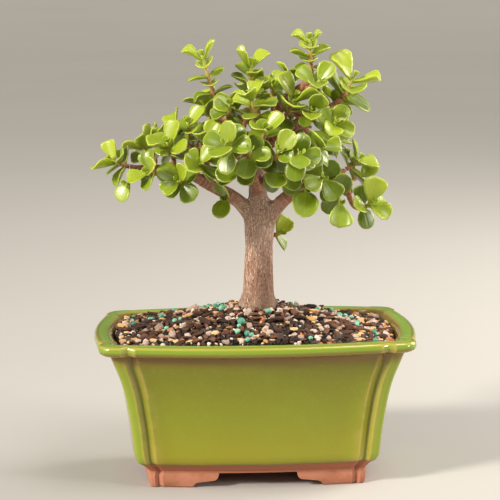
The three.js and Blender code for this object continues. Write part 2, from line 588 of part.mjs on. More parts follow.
/** A thick blade in its own frame: x across, y along from the stem, z out of its upper face. */
function bladeGeometry(length, width) {
  const lift = (t) => LEAF.cup * Math.sin(Math.PI * t); // the margin stands above the midrib
  const margin = (side) => BLADE.map(([t, w]) => [(side * w * width) / 2, t * length, lift(t)]);
  const outline = [[0, 0, 0], ...margin(-1), [0, length, 0], ...margin(1).reverse()];
  const upper = MIDRIB.map((t) => [0, t * length, 0.3 * LEAF.thick]);
  const lower = [[0, 0.5 * length, -0.65 * LEAF.thick]];
  const count = outline.length;
  const faces = [];
  for (let i = 0; i < count; i++) {
    const next = (i + 1) % count;
    const near = i === 0 || next === 0 ? 0 : 1; // the root's two edges meet the first midrib point
    faces.push([next, i, count + near], [i, next, count + 2]);
  }
  faces.push([1, count, count + 1], [count - 1, count + 1, count]);
  return geometryFrom([...outline, ...upper, ...lower], faces);
}

/** Places in a blade that are kept clear of other pieces, as [share of half width, share of length]. */
const PROBES = [
  [0, 0.26],
  [0, 0.44], [-0.5, 0.46], [0.5, 0.46],
  [0, 0.62], [-0.45, 0.62], [0.45, 0.62], [-0.9, 0.64], [0.9, 0.64],
  [0, 0.8], [-0.42, 0.8], [0.42, 0.8], [-0.82, 0.8], [0.82, 0.8],
  [0, 0.97], [-0.4, 0.95], [0.4, 0.95],
];

/** What a leaf tries in turn where its first place is taken: degrees more open, degrees of twist, size. */
const TRIES = [
  [0, 0, 1], [12, 0, 1], [-12, 0, 1], [0, 25, 1], [0, -25, 1], [22, 18, 0.92], [-22, -18, 0.92],
  [0, 0, 0.78], [26, 0, 0.78], [-26, 0, 0.78], [14, 40, 0.78], [14, -40, 0.78], [34, 0, 0.66],
  [-10, 0, 0.62],
];

/** A leaf's place: its root on the stem, its run out and up from it, and its face turned to the light. */
function leafMatrix(at, along, reference, { bearing, open, twist }) {
  const { u, v } = acrossFrame(along, reference);
  const out = u.multiplyScalar(Math.cos(bearing)).addScaledVector(v, Math.sin(bearing));
  const run = along.clone().multiplyScalar(Math.cos(open)).addScaledVector(out, Math.sin(open));
  const face = along.clone().multiplyScalar(Math.sin(open)).addScaledVector(out, -Math.cos(open));
  const side = run.clone().cross(face);
  const widest = radians(LIGHT_PULL.most);
  const toLight = Math.atan2(-LIGHT.dot(side), LIGHT.dot(face));
  const turn = twist + LIGHT_PULL.share * THREE.MathUtils.clamp(toLight, -widest, widest);
  const turnedSide = side.clone().multiplyScalar(Math.cos(turn)).addScaledVector(face, Math.sin(turn));
  const turnedFace = face.clone().multiplyScalar(Math.cos(turn)).addScaledVector(side, -Math.sin(turn));
  const root = at.clone().addScaledVector(out, LEAF.root);
  return new THREE.Matrix4().makeBasis(turnedSide, run, turnedFace).setPosition(root);
}

/** Everything that a leaf must keep clear of: points with a radius, and the shoot that each belongs to. */
function woodObstacles() {
  const found = [];
  const add = (curve, steps, from, to, owner) =>
    curve.getPoints(steps).forEach((p, i) => found.push({ p, r: mixed(from, to, i / steps), owner }));
  for (const name of Object.keys(LIMBS)) add(limbCurve(name), 24, ...LIMBS[name].r, -1);
  for (let k = 0; k + 1 < TRUNK.length; k++)
    for (const share of [0, 0.5])
      found.push({ p: vec(TRUNK[k].p).lerp(vec(TRUNK[k + 1].p), share), r: TRUNK[k].r, owner: -1 });
  SHOOTS.forEach((shoot, index) => {
    add(twigCurve(shoot), 8, TWIG.start, TWIG.end, -1);
    add(stemCurve(shoot), 8, STEM.base, STEM.tip, index);
  });
  return found;
}

/** Lays out every leaf by the same rule, and keeps those that find room. */
function leavesOfShoots() {
  const draw = draws(7);
  const wood = woodObstacles();
  const blades = [];
  const kept = SHOOTS.map(() => []);
  SHOOTS.forEach((shoot, owner) => {
    const curve = stemCurve(shoot);
    const reference = referenceFor(vec(shoot.foot), vec(shoot.tip));
    const length = vec(shoot.foot).distanceTo(vec(shoot.tip));
    for (let pair = 0; pair < shoot.pairs; pair++) {
      const down = pair / Math.max(shoot.pairs - 1, 1);
      const place = 1 - STEM.bare / length - (0.86 - (STEM.bare + 1.2) / length) * down;
      const along = curve.getTangent(place);
      for (const half of [0, 1]) {
        const bearing = radians(shoot.turn + pair * 90 + half * 180 + (draw() - 0.5) * 24);
        const open = radians(mixed(shoot.open ?? LEAF.open, 82, Math.sqrt(down)) + (draw() - 0.5) * 16);
        const twist = radians((draw() - 0.5) * 30);
        const size = shoot.leaf * (0.88 + 0.24 * draw()) * mixed(1, 0.9, down);
        for (const [more, turn, scale] of TRIES) {
          const angles = { bearing, open: open + radians(more), twist: twist + radians(turn) };
          const matrix = leafMatrix(curve.getPoint(place), along, reference, angles);
          const leaf = { matrix, length: size * scale, width: size * scale * LEAF.widthShare };
          const probes = PROBES.map(([x, y]) =>
            new THREE.Vector3((x * leaf.width) / 2, y * leaf.length, 0).applyMatrix4(matrix),
          );
          const atWood = (q, w) =>
            w.owner !== owner && q.distanceTo(w.p) < w.r + LEAF_REACH + CLEAR_WOOD;
          const atBlade = (q, b) =>
            q.distanceTo(b.p) < 2 * LEAF_REACH + (b.owner === owner ? CLEAR_OWN : CLEAR);
          const blocked = probes.some(
            (q) => wood.some((w) => atWood(q, w)) || blades.some((b) => atBlade(q, b)),
          );
          if (blocked) continue;
          kept[owner].push(leaf);
          blades.push(...probes.map((p) => ({ p, owner })));
          break;
        }
      }
    }
  });
  return kept;
}

function shootSolid(shoot, leaves) {
  const flats = radians(shoot.turn + 45); // so that each leaf grows from the middle of a flat
  const radii = taper(STEM.base, STEM.tip, STEM.steps);
  const solids = [solidFrom(tube(stemCurve(shoot), radii, STEM.sides, { turn: flats }))];
  for (const leaf of leaves) solids.push(solidFrom(bladeGeometry(leaf.length, leaf.width), leaf.matrix));
  return joined(solids);
}

// ---------------------------------------------------------------- the object
const bonsai = new THREE.Group();
bonsai.name = "jade_bonsai";

function addPiece(name, solid, look) {
  const mesh = new THREE.Mesh(geometryOfSolid(solid), new THREE.MeshStandardMaterial(look));
  mesh.name = name;
  bonsai.add(mesh);
}

addPiece("pot", potSolid(), COLOURS.glaze);
addPiece("drain_screen_left", screenSolid(-1), COLOURS.mesh);
addPiece("drain_screen_right", screenSolid(1), COLOURS.mesh);
addPiece("soil", soilSolid(), COLOURS.soil);
addPiece("trunk_and_branches", woodSolid(), COLOURS.bark);
const leaves = leavesOfShoots();
SHOOTS.forEach((shoot, index) => {
  const name = "leafy_shoot_" + String(index + 1).padStart(2, "0");
  addPiece(name, shootSolid(shoot, leaves[index]), COLOURS.leaf);
});

const box = new THREE.Box3().setFromObject(bonsai);
const middle = box.getCenter(new THREE.Vector3());
bonsai.position.set(-middle.x, -middle.y, 0);

export default bonsai;
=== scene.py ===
"""Dresses a small-leaved jade bonsai: a glazed pot, gritty soil, furrowed bark and thick shining leaves.

The tree's sizes are in millimetres, with the pot centred on the origin, as in the part's own source. Each
class models one sub-assembly finely, and its meshes are then set into the frame, which is in metres.
"""

import logging
import math
from collections.abc import Callable, Iterator, Sequence
from contextlib import contextmanager
from dataclasses import astuple, dataclass, field
from enum import Enum

import bpy
import numpy as np
from mathutils import Matrix, Vector, noise
from mathutils.kdtree import KDTree


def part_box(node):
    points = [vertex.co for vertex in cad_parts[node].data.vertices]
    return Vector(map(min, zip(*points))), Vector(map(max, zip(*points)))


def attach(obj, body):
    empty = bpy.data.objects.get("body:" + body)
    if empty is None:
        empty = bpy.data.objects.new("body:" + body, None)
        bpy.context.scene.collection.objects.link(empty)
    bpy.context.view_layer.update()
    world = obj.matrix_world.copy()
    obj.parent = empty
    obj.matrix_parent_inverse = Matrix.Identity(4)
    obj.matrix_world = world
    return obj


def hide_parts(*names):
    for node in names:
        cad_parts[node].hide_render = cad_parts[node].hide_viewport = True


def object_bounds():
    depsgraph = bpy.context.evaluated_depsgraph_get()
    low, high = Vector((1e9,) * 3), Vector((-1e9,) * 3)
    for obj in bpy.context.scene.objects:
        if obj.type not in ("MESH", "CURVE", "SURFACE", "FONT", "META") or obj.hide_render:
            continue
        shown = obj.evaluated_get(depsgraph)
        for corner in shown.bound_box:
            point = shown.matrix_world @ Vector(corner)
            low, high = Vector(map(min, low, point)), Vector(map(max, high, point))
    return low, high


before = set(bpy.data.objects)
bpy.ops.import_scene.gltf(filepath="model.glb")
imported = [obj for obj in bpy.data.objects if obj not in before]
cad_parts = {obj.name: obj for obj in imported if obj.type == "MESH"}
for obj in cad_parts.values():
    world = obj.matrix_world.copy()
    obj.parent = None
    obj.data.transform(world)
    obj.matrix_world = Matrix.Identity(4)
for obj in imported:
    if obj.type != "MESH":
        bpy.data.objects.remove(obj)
CAD_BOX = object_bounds()

LOG = logging.getLogger("bonsai")
MM = 0.001

Point = tuple[float, float, float]
Stops = tuple[tuple[float, float], ...]
Ramp = tuple[tuple[float, Point], ...]
Mesh = bpy.types.Mesh
Object = bpy.types.Object
Material = bpy.types.Material
Socket = bpy.types.NodeSocket


# --- small helpers
def frame_shift() -> Vector:
    """Gives the place of the pot's middle on the floor of the frame, in metres."""
    low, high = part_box("pot")
    return Vector(((low.x + high.x) / 2, (low.y + high.y) / 2, 0.0))


def tree_box() -> np.ndarray:
    """Gives the CAD's lowest and highest corners in the tree's own millimetres."""
    return (np.array(CAD_BOX, float) - np.array(frame_shift())) / MM


def rgb(red: float, green: float, blue: float) -> tuple[float, float, float, float]:
    """Turns a display colour into a linear one.

    Args:
        red, green, blue: The colour from 0 to 255, as a display shows it.

    Returns:
        The linear colour with full alpha.
    """

    def linear(value: float) -> float:
        """Turns one channel, by the standard display curve."""
        share = value / 255
        return share / 12.92 if share <= 0.04045 else ((share + 0.055) / 1.055) ** 2.4

    return (linear(red), linear(green), linear(blue), 1.0)


def mixed(low: float, high: float, share: float) -> float:
    """Gives the value that lies a share of the way from low to high."""
    return low + (high - low) * share


def clamped(value: float, low: float = 0.0, high: float = 1.0) -> float:
    """Keeps a value between two limits."""
    return min(max(value, low), high)


def deselect() -> None:
    """Leaves edit mode and deselects every object."""
    if bpy.context.object and bpy.context.object.mode != "OBJECT":
        bpy.ops.object.mode_set(mode="OBJECT")
    bpy.ops.object.select_all(action="DESELECT")


def activate(*objects: Object) -> None:
    """Selects these objects alone and makes the first one active.

    Args:
        objects: The objects that the next operator acts on.
    """
    deselect()
    for thing in objects:
        thing.select_set(True)
    bpy.context.view_layer.objects.active = objects[0]


@contextmanager
def edit_mode(thing: Object) -> Iterator[None]:
    """Opens an object in edit mode with all of it selected, and leaves edit mode at the end.

    Args:
        thing: The object.
    """
    activate(thing)
    bpy.ops.object.mode_set(mode="EDIT")
    bpy.ops.mesh.select_all(action="SELECT")
    yield
    bpy.ops.object.mode_set(mode="OBJECT")


def outward(thing: Object, merge: float = 0.0) -> None:
    """Merges an object's doubles and turns its faces outwards.

    Args:
        thing: The object, one closed shell or several.
        merge: How close two points must lie to be merged, or 0 for no merging.
    """
    with edit_mode(thing):
        if merge:
            bpy.ops.mesh.remove_doubles(threshold=merge)
        bpy.ops.mesh.normals_make_consistent(inside=False)


def primitive(kind: str, **settings: object) -> Object:
    """Adds a primitive and applies its place and scale to its mesh.

    Args:
        kind: The primitive's name, as its operator has it.
        settings: The operator's settings.

    Returns:
        The new object, selected alone.
    """
    deselect()
    getattr(bpy.ops.mesh, f"primitive_{kind}_add")(**settings)
    bpy.ops.object.transform_apply(location=True, rotation=True, scale=True)
    return bpy.context.object


def link(name: str, data: bpy.types.ID) -> Object:
    """Makes an object and links it to the scene.

    Args:
        name: The object's name.
        data: Its mesh, light or camera.

    Returns:
        The object.
    """
    thing = bpy.data.objects.new(name, data)
    bpy.context.scene.collection.objects.link(thing)
    return thing


def copy_of(form: Object) -> Object:
    """Copies a form and links the copy to the scene.

    Args:
        form: The object to copy.

    Returns:
        The copy, with its own mesh.
    """
    thing = form.copy()
    thing.data = form.data.copy()
    bpy.context.scene.collection.objects.link(thing)
    return thing


def mesh_object(name: str, points: np.ndarray, faces: Sequence[Sequence[int]]) -> Object:
    """Makes an object from points and faces.

    Args:
        name: The object's name.
        points: One row of x, y and z for each vertex.
        faces: The vertex numbers of each face.

    Returns:
        The new object, linked to the scene.
    """
    mesh = bpy.data.meshes.new(name)
    mesh.from_pydata(np.asarray(points, float).tolist(), [], [list(face) for face in faces])
    mesh.update()
    return link(name, mesh)


def loft(rings: Sequence[np.ndarray]) -> tuple[np.ndarray, list[list[int]]]:
    """Closes a stack of rings into one shell with flat ends.

    Args:
        rings: Rings of points with the same count, from the shell's first end to its last.

    Returns:
        The shell's points and faces.
    """
    count = len(rings[0])
    faces: list[list[int]] = []
    for start in range(0, (len(rings) - 1) * count, count):
        for k in range(count):
            after = (k + 1) % count
            faces.append([start + k, start + after, start + after + count, start + k + count])
    last = (len(rings) - 1) * count
    faces.append(list(range(count))[::-1])
    faces.append([last + k for k in range(count)])
    return np.concatenate(rings), faces


def apply_modifier(thing: Object, kind: str, **settings: object) -> None:
    """Adds a modifier to an object and applies it.

    Args:
        thing: The object.
        kind: The modifier's kind.
        settings: The modifier's settings by name.
    """
    activate(thing)
    modifier = thing.modifiers.new(kind.title(), kind)
    for key, value in settings.items():
        setattr(modifier, key, value)
    bpy.ops.object.modifier_apply(modifier=modifier.name)


def shade_by_angle(thing: Object, degrees: float) -> None:
    """Shades an object smooth, apart from its edges that are sharper than an angle."""
    activate(thing)
    bpy.ops.object.shade_smooth_by_angle(angle=math.radians(degrees))


def set_numbers(mesh: Mesh, name: str, values: np.ndarray | float) -> None:
    """Stores one number at each vertex.

    Args:
        mesh: The mesh.
        name: The attribute's name.
        values: One number for all vertices, or one for each.
    """
    layer = mesh.attributes.get(name) or mesh.attributes.new(name, "FLOAT", "POINT")
    numbers = np.broadcast_to(np.asarray(values, np.float32), len(mesh.vertices))
    layer.data.foreach_set("value", numbers.copy())


def points_of(mesh: Mesh) -> np.ndarray:
    """Reads a mesh's vertices.

    Args:
        mesh: The mesh.

    Returns:
        One row of x, y and z for each vertex.
    """
    flat = np.zeros(len(mesh.vertices) * 3, np.float32)
    mesh.vertices.foreach_get("co", flat)
    return flat.reshape(-1, 3).astype(float)


def move_points(mesh: Mesh, points: np.ndarray) -> None:
    """Writes a mesh's vertices from rows of x, y and z."""
    mesh.vertices.foreach_set("co", points.astype(np.float32).ravel())
    mesh.update()


def place(thing: Object, slot: str, node: str, *materials: Material) -> None:
    """Sets a finished piece into the frame, dresses it and says what it stands for.

    Args:
        thing: The piece, modelled in the tree's millimetres.
        slot: Not used.
        node: The CAD node that the piece replaces.
        materials: The piece's materials in the order of its material slots.
    """
    thing.data.transform(Matrix.Translation(frame_shift()) @ Matrix.Scale(MM, 4))
    thing.data.materials.clear()
    for material in materials:
        thing.data.materials.append(material)
    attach(thing, "root")
    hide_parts(node)
    LOG.info("%s: %d faces, stands for %s", thing.name, len(thing.data.polygons), node)


# --- finishes
@dataclass(frozen=True)
class Layer:
    """A colour laid over a finish wherever a pattern is strong, or weak if high is below low."""

    colour: Point
    low: float  # the pattern's value where the colour begins
    high: float  # its value where the colour is at its fullest
    most: float  # the colour's share there


class Graph:
    """A material's node tree, built node by node."""

    def __init__(self, name: str) -> None:
        """Starts an empty node tree with its output and shader."""
        self.material = bpy.data.materials.new(name)
        self.material.use_nodes = True
        self.tree = self.material.node_tree
        self.tree.nodes.clear()
        output = self.tree.nodes.new("ShaderNodeOutputMaterial")
        self.shader = self.tree.nodes.new("ShaderNodeBsdfPrincipled")
        self.tree.links.new(self.shader.outputs["BSDF"], output.inputs["Surface"])

    def add(self, kind: str, inputs: dict | None = None, **settings: object) -> bpy.types.Node:
        """Adds a node.

        Args:
            kind: The node's type, without its ShaderNode prefix.
            inputs: Values or sockets by input name or number.
            settings: The node's own settings.

        Returns:
            The node.
        """
        made = self.tree.nodes.new("ShaderNode" + kind)
        for key, value in settings.items():
            setattr(made, key, value)
        for key, value in (inputs or {}).items():
            self.feed(made.inputs[key], value)
        return made

    def feed(self, socket: Socket, value: object) -> None:
        """Links another socket to an input, or sets the input to a value.

        Args:
            socket: The input.
            value: The other socket, or the value.
        """
        if isinstance(value, Socket):
            self.tree.links.new(value, socket)
        else:
            socket.default_value = value

    def place(self) -> Socket:
        """Gives the object's own coordinates, in metres."""
        return self.add("TexCoord").outputs["Object"]

    def part(self, axis: str) -> Socket:
        """Gives one of the object's own coordinates, X, Y or Z, in metres."""
        return self.add("SeparateXYZ", {"Vector": self.place()}).outputs[axis]

    def stored(self, name: str, output: str = "Fac") -> Socket:
        """Gives a number stored at each vertex, or a vector with Vector for its output."""
        return self.add("Attribute", attribute_name=name).outputs[output]

    def noise(self, where: Socket, scale: float, detail: float = 4.0) -> Socket:
        """Gives a cloudy pattern from 0 to 1, with so many patches per unit and so many finer layers."""
        made = self.add("TexNoise", {"Vector": where, "Scale": scale, "Detail": detail, "Roughness": 0.6})
        return made.outputs["Fac"]

    def stretched(self, where: Socket, scale: Point) -> Socket:
        """Scales coordinates by a different amount along each axis."""
        return self.add("Mapping", {"Vector": where, "Scale": scale}).outputs["Vector"]

    def math(self, operation: str, first: object, second: object = 0.0, clamp: bool = True) -> Socket:
        """Works out one sum on two numbers or sockets, clamped to 0 and 1 unless told otherwise."""
        return self.add("Math", {0: first, 1: second}, operation=operation, use_clamp=clamp).outputs[0]

    def share(self, value: Socket, most: float) -> Socket:
        """Scales a number from 0 to 1 down to at most this much."""
        return self.math("MULTIPLY", value, most)

    def inverse(self, value: Socket) -> Socket:
        """Turns a number from 0 to 1 about, so that 1 becomes 0."""
        return self.math("SUBTRACT", 1.0, value)

    def line(self, value: Socket, slope: float, start: float) -> Socket:
        """Gives slope times a number, plus a start."""
        return self.math("ADD", self.share(value, slope), start)

    def span(self, value: Socket, low: float, high: float) -> Socket:
        """Spreads a stretch of a number smoothly over 0 to 1.

        Args:
            value: The number.
            low: Where the result is 0.
            high: Where it is 1, above low or below it.

        Returns:
            The result.
        """
        inputs = {"Value": value, "From Min": min(low, high), "From Max": max(low, high)}
        risen = self.add("MapRange", inputs, interpolation_type="SMOOTHSTEP").outputs["Result"]
        return self.inverse(risen) if high < low else risen

    def band(self, value: Socket, stops: Sequence[tuple[float, tuple]]) -> Socket:
        """Maps a number to a colour by straight lines between stops.

        Args:
            value: The number.
            stops: Pairs of a place and its linear colour.

        Returns:
            The colour.
        """
        made = self.add("ValToRGB", {"Fac": value})
        elements = made.color_ramp.elements
        while len(elements) < len(stops):
            elements.new(0.5)
        for element, (where, colour) in zip(elements, stops):
            element.position = where
            element.color = colour
        return made.outputs["Color"]

    def ramp(self, value: Socket, *stops: tuple[float, Point]) -> Socket:
        """Maps a number to display colours, given as pairs of a place and the colour there."""
        return self.band(value, [(where, rgb(*colour)) for where, colour in stops])

    def shape(self, value: Socket, stops: Stops) -> Socket:
        """Maps a number to another one, given as pairs of a place and the number there."""
        return self.band(value, [(where, (level, level, level, 1.0)) for where, level in stops])

    def blend(self, share: Socket, first: Socket | Point, second: Socket | Point) -> Socket:
        """Mixes two colours.

        Args:
            share: How much of the second colour.
            first: The display colour or socket at share 0.
            second: The display colour or socket at share 1.

        Returns:
            The mixed colour.
        """
        made = self.add("Mix", {"Factor": share}, data_type="RGBA")
        colours = [socket for socket in made.inputs if socket.type == "RGBA"]
        for socket, value in zip(colours, (first, second)):
            self.feed(socket, value if isinstance(value, Socket) else rgb(*value))
        return next(socket for socket in made.outputs if socket.type == "RGBA")

    def lay(self, base: Socket | Point, pattern: Socket, layer: Layer) -> Socket:
        """Lays a layer's colour over another colour by a pattern."""
        share = self.share(self.span(pattern, layer.low, layer.high), layer.most)
        return self.blend(share, base, layer.colour)

    def cracks(self, value: Socket, width: float) -> Socket:
        """Draws thin lines where a cloudy pattern crosses its middle."""
        away = self.math("ABSOLUTE", self.math("SUBTRACT", value, 0.5, clamp=False), clamp=False)
        return self.span(away, width, 0.0)

    def scales(self, where: Socket, width: float) -> tuple[Socket, Socket]:
        """Draws a surface broken up into small scales.

        Args:
            where: The coordinates, one unit to a scale.
            width: The gap between two scales.

        Returns:
            How far a spot is in a gap, from 0 to 1, and its scale's own tone.
        """
        wander = self.add("TexNoise", {"Vector": where, "Scale": 2.0, "Detail": 2.0}).outputs["Color"]
        half = self.stretched(wander, (0.5, 0.5, 0.5))
        bent = self.add("VectorMath", {0: where, 1: half}, operation="ADD").outputs[0]
        cells = {"Vector": bent, "Scale": 1.0}
        edge = self.add("TexVoronoi", cells, feature="DISTANCE_TO_EDGE").outputs["Distance"]
        tone = self.add("TexVoronoi", cells).outputs["Color"]
        return self.span(edge, width, 0.0), self.span(tone, 0.2, 0.8)

    def bump(
        self, height: Socket, strength: Socket | float, distance: float, under: Socket | None = None
    ) -> Socket:
        """Raises a pattern from the surface.

        Args:
            height: The pattern.
            strength: From 0 to 1.
            distance: The pattern's full height, in metres.
            under: The normal that this bump is laid over, if any.

        Returns:
            The normal.
        """
        inputs = {"Height": height, "Strength": strength, "Distance": distance}
        if under is not None:
            inputs["Normal"] = under
        return self.add("Bump", inputs).outputs["Normal"]

    def finish(self, **inputs: object) -> Material:
        """Sets the shader's inputs and returns the material.

        Args:
            inputs: Values or sockets by input name, with _ for a space.

        Returns:
            The material.
        """
        for key, value in inputs.items():
            self.feed(self.shader.inputs[key.replace("_", " ")], value)
        return self.material


@dataclass(frozen=True)
class Glaze:
    """A glossy green glaze over red-brown stoneware, which stays bare at the foot."""

    panel: Ramp = (  # from the foot to the rim; the darkening towards the rim is painted shade under the rim's overhang
        (0.16, (144, 138, 24)), (0.5, (126, 131, 20)), (0.85, (114, 114, 16)),
    )
    panel_top: float = 80.0  # height at the end of the panel's colours, in millimetres
    lobe: Point = (138, 152, 40)
    pool: Point = (112, 112, 32)
    # tan: thin glaze on the ridge tops, lightened as a painted highlight
    tan: Point = (184, 158, 84)
    brown: Point = (118, 82, 34)
    roll: Ramp = (  # from the rim's underside over its front and edge to its top; the underside's brown is partly the glaze's own and partly painted shade, and the pale band on the upper edge is a painted highlight
        (0.1, (132, 116, 38)),
        (0.4, (124, 150, 44)),
        (0.72, (124, 150, 44)),
        (0.88, (166, 166, 72)),
        (0.96, (166, 166, 72)),
        (0.998, (128, 162, 50)),
    )
    roll_heights: tuple[float, float] = (71.0, 76.0)
    rim_line: tuple[float, float] = (70.0, 71.4)  # heights between which the panel gives way to the rim
    mottle: Layer = Layer((138, 152, 40), 0.45, 0.8, 0.26)
    fine_mottle: Layer = Layer((138, 152, 40), 0.52, 0.72, 0.24)
    specks: Layer = Layer((118, 82, 34), 0.6, 0.72, 0.14)
    # brown where the glaze runs thin on the rim's edges, and painted shade just below the rim
    run_off_and_rim_shade: Layer = Layer((118, 82, 34), 0.1, 0.9, 0.85)
    clay: Point = (202, 146, 118)
    clay_dark: Point = (166, 104, 78)
    clay_specks: Layer = Layer((166, 104, 78), 0.6, 0.7, 0.5)
    clay_line: float = 12.7  # height where the glaze ends
    apron_shade_line: tuple[float, float] = (8.2, 6.8)  # heights where the apron's painted shade, under the glazed body, gives way to the paler feet
    foot_share: float = 0.35
    lobe_at: Stops = ((0.7, 0.0), (0.9, 1.0))  # by the place across a groove, with its valley at 0.5
    pool_at: Stops = ((0.36, 0.0), (0.46, 1.0), (0.54, 1.0), (0.62, 0.0))
    ridge_wear_and_highlight_at: Stops = (
        (0.08, 0.0), (0.17, 1.0), (0.3, 0.5), (0.46, 0.1),
        (0.54, 0.1), (0.68, 0.6), (0.83, 1.0), (0.92, 0.0),
    )

    def green(self, graph: Graph, where: Socket, height: Socket) -> Socket:
        """Colours the glaze: its panels, lobes, pools, rolled rim and ridge tops. It paints shade under the
        rim, and highlights on the rim's edge and on the ridge tops over their thin glaze.

        Args:
            graph: The material's node tree.
            where: The coordinates.
            height: The height in metres.

        Returns:
            The glaze's colour.
        """
        drift = graph.share(graph.math("SUBTRACT", graph.noise(where, 160, 3), 0.4), 0.07)
        beside = graph.math("ADD", graph.stored("beside"), drift)
        level = graph.math("MULTIPLY", height, 1 / (self.panel_top * MM), clamp=False)
        glaze = graph.blend(graph.shape(beside, self.lobe_at), graph.ramp(level, *self.panel), self.lobe)
        glaze = graph.blend(graph.share(graph.shape(beside, self.pool_at), 0.7), glaze, self.pool)
        rolled = graph.ramp(graph.span(height, *(high * MM for high in self.roll_heights)), *self.roll)
        glaze = graph.blend(graph.span(height, *(high * MM for high in self.rim_line)), glaze, rolled)
        glaze = graph.lay(glaze, graph.noise(where, 26, 3), self.mottle)
        glaze = graph.lay(glaze, graph.noise(where, 700, 3), self.fine_mottle)
        glaze = graph.lay(glaze, graph.noise(where, 1600, 2), self.specks)
        # the ridge tops: thin glaze, painted lighter as a highlight
        patchy = graph.math("ADD", graph.span(graph.noise(where, 90, 3), 0.3, 0.6), 0.35)
        ridge_wear_and_highlight = graph.share(graph.math("MULTIPLY", graph.shape(beside, self.ridge_wear_and_highlight_at), patchy), 0.5)
        glaze = graph.blend(ridge_wear_and_highlight, glaze, self.tan)
        # the stored thin mark lays brown where the glaze runs thin on edges, and painted shade just under
        # the rim
        thin = graph.math("ADD", graph.stored("thin"), graph.math("MULTIPLY", drift, 2.0))
        return graph.lay(glaze, thin, self.run_off_and_rim_shade)

    def bare_clay(self, graph: Graph, where: Socket, height: Socket) -> Socket:
        """Colours the bare clay of the apron and the feet, with painted shade on the apron under the glazed
        body.

        Args:
            graph: The material's node tree.
            where: The coordinates.
            height: The height in metres.

        Returns:
            The clay's colour.
        """
        clay = graph.blend(graph.span(graph.noise(where, 120, 5), 0.35, 0.7), self.clay, self.clay_dark)
        clay = graph.lay(clay, graph.noise(where, 1600, 2), self.clay_specks)
        # the apron under the glazed body is painted darker as shade; the feet below stay paler
        feet = graph.span(height, *(high * MM for high in self.apron_shade_line))
        return graph.blend(graph.share(feet, self.foot_share), self.clay_dark, clay)

    def build(self) -> Material:
        """Builds the material, which parts glaze from bare clay by height.

        Returns:
            The material.
        """
        graph = Graph("glazed_stoneware")
        where, height = graph.place(), graph.part("Z")
        edge = graph.math("ADD", height, graph.share(graph.noise(where, 90, 2), 0.0012))
        low = self.clay_line * MM
        bare = graph.span(edge, low + 0.0003, low - 0.0003)
        glaze = graph.lay(
            self.green(graph, where, height), edge, Layer(self.brown, low + 0.0018, low + 0.0004, 0.75)
        )
        ripple = graph.bump(graph.noise(where, 60, 2), 0.1, 0.0006)
        return graph.finish(
            Base_Color=graph.blend(bare, glaze, self.bare_clay(graph, where, height)),
            Roughness=graph.line(bare, 0.66, 0.16),
            Normal=graph.bump(graph.noise(where, 1400, 4), graph.share(bare, 0.5), 0.0002, ripple),
            Coat_Weight=graph.share(graph.inverse(bare), 0.5),
            Coat_Roughness=0.04,
            Specular_IOR_Level=0.3,
        )


@dataclass(frozen=True)
class Foliage:
    """A waxy leaf skin: deep green on old leaves, yellow-green on young ones, with a pale margin."""

    old: Point = (68, 92, 6)
    mid: Point = (120, 142, 20)
    young: Point = (168, 184, 40)
    margin: Point = (198, 206, 86)
    root: Layer = Layer((164, 172, 74), 0.35, 0.02, 0.45)
    rib: Layer = Layer((198, 206, 86), 0.12, 0.0, 0.08)
    flecks: Layer = Layer((198, 206, 86), 0.58, 0.72, 0.12)
    border: Layer = Layer((198, 206, 86), 0.66, 0.96, 0.5)

    def build(self) -> Material:
        """Builds the material from each blade's own age and tone and its place in the blade.

        Returns:
            The material.
        """
        graph = Graph("leaf_skin")
        where = graph.place()
        across, border = graph.stored("across"), graph.stored("margin")
        mottle = graph.noise(where, 240, 4)
        tone = graph.share(graph.stored("tone"), 0.22)
        age = graph.math("ADD", graph.share(graph.stored("youth"), 0.86), tone)
        age = graph.math("ADD", age, graph.share(graph.span(mottle, 0.4, 0.8), 0.1))
        age = graph.math("SUBTRACT", age, 0.06)
        skin = graph.ramp(age, (0.0, self.old), (0.5, self.mid), (0.95, self.young))
        skin = graph.lay(skin, graph.stored("along"), self.root)
        skin = graph.lay(skin, across, self.rib)
        skin = graph.lay(skin, graph.noise(where, 1300, 3), self.flecks)
        skin = graph.blend(graph.share(border, 0.15), skin, self.margin)
        dimple = graph.bump(graph.noise(where, 700, 3), 0.3, 0.00015)
        return graph.finish(
            Base_Color=graph.lay(skin, border, self.border),
            Roughness=graph.line(graph.span(mottle, 0.3, 0.8), 0.14, 0.32),
            Normal=graph.bump(graph.span(across, 0.0, 0.2), 0.25, 0.0003, dimple),
            Subsurface_Weight=0.15,
            Subsurface_Radius=(0.6, 1.0, 0.2),
            Subsurface_Scale=0.0012,
            Coat_Weight=0.26,
            Coat_Roughness=0.26,
        )


@dataclass(frozen=True)
class YoungStem:
    """The skin of a leafy stem: yellow-green at the tip and pink-tan below."""

    tip: Point = (168, 182, 74)
    middle: Point = (190, 140, 92)
    foot: Point = (146, 92, 60)

    def build(self) -> Material:
        """Builds the material from the place along the stem.

        Returns:
            The material.
        """
        graph = Graph("young_stem")
        mottle = graph.noise(graph.place(), 700, 4)
        drift = graph.share(graph.math("SUBTRACT", mottle, 0.4), 0.4)
        spot = graph.math("ADD", graph.stored("along"), drift)
        return graph.finish(
            Base_Color=graph.ramp(spot, (0.0, self.foot), (0.5, self.middle), (0.95, self.tip)),
            Roughness=0.5,
            Normal=graph.bump(mottle, 0.4, 0.0002),
            Subsurface_Weight=0.08,
            Subsurface_Scale=0.0008,
        )


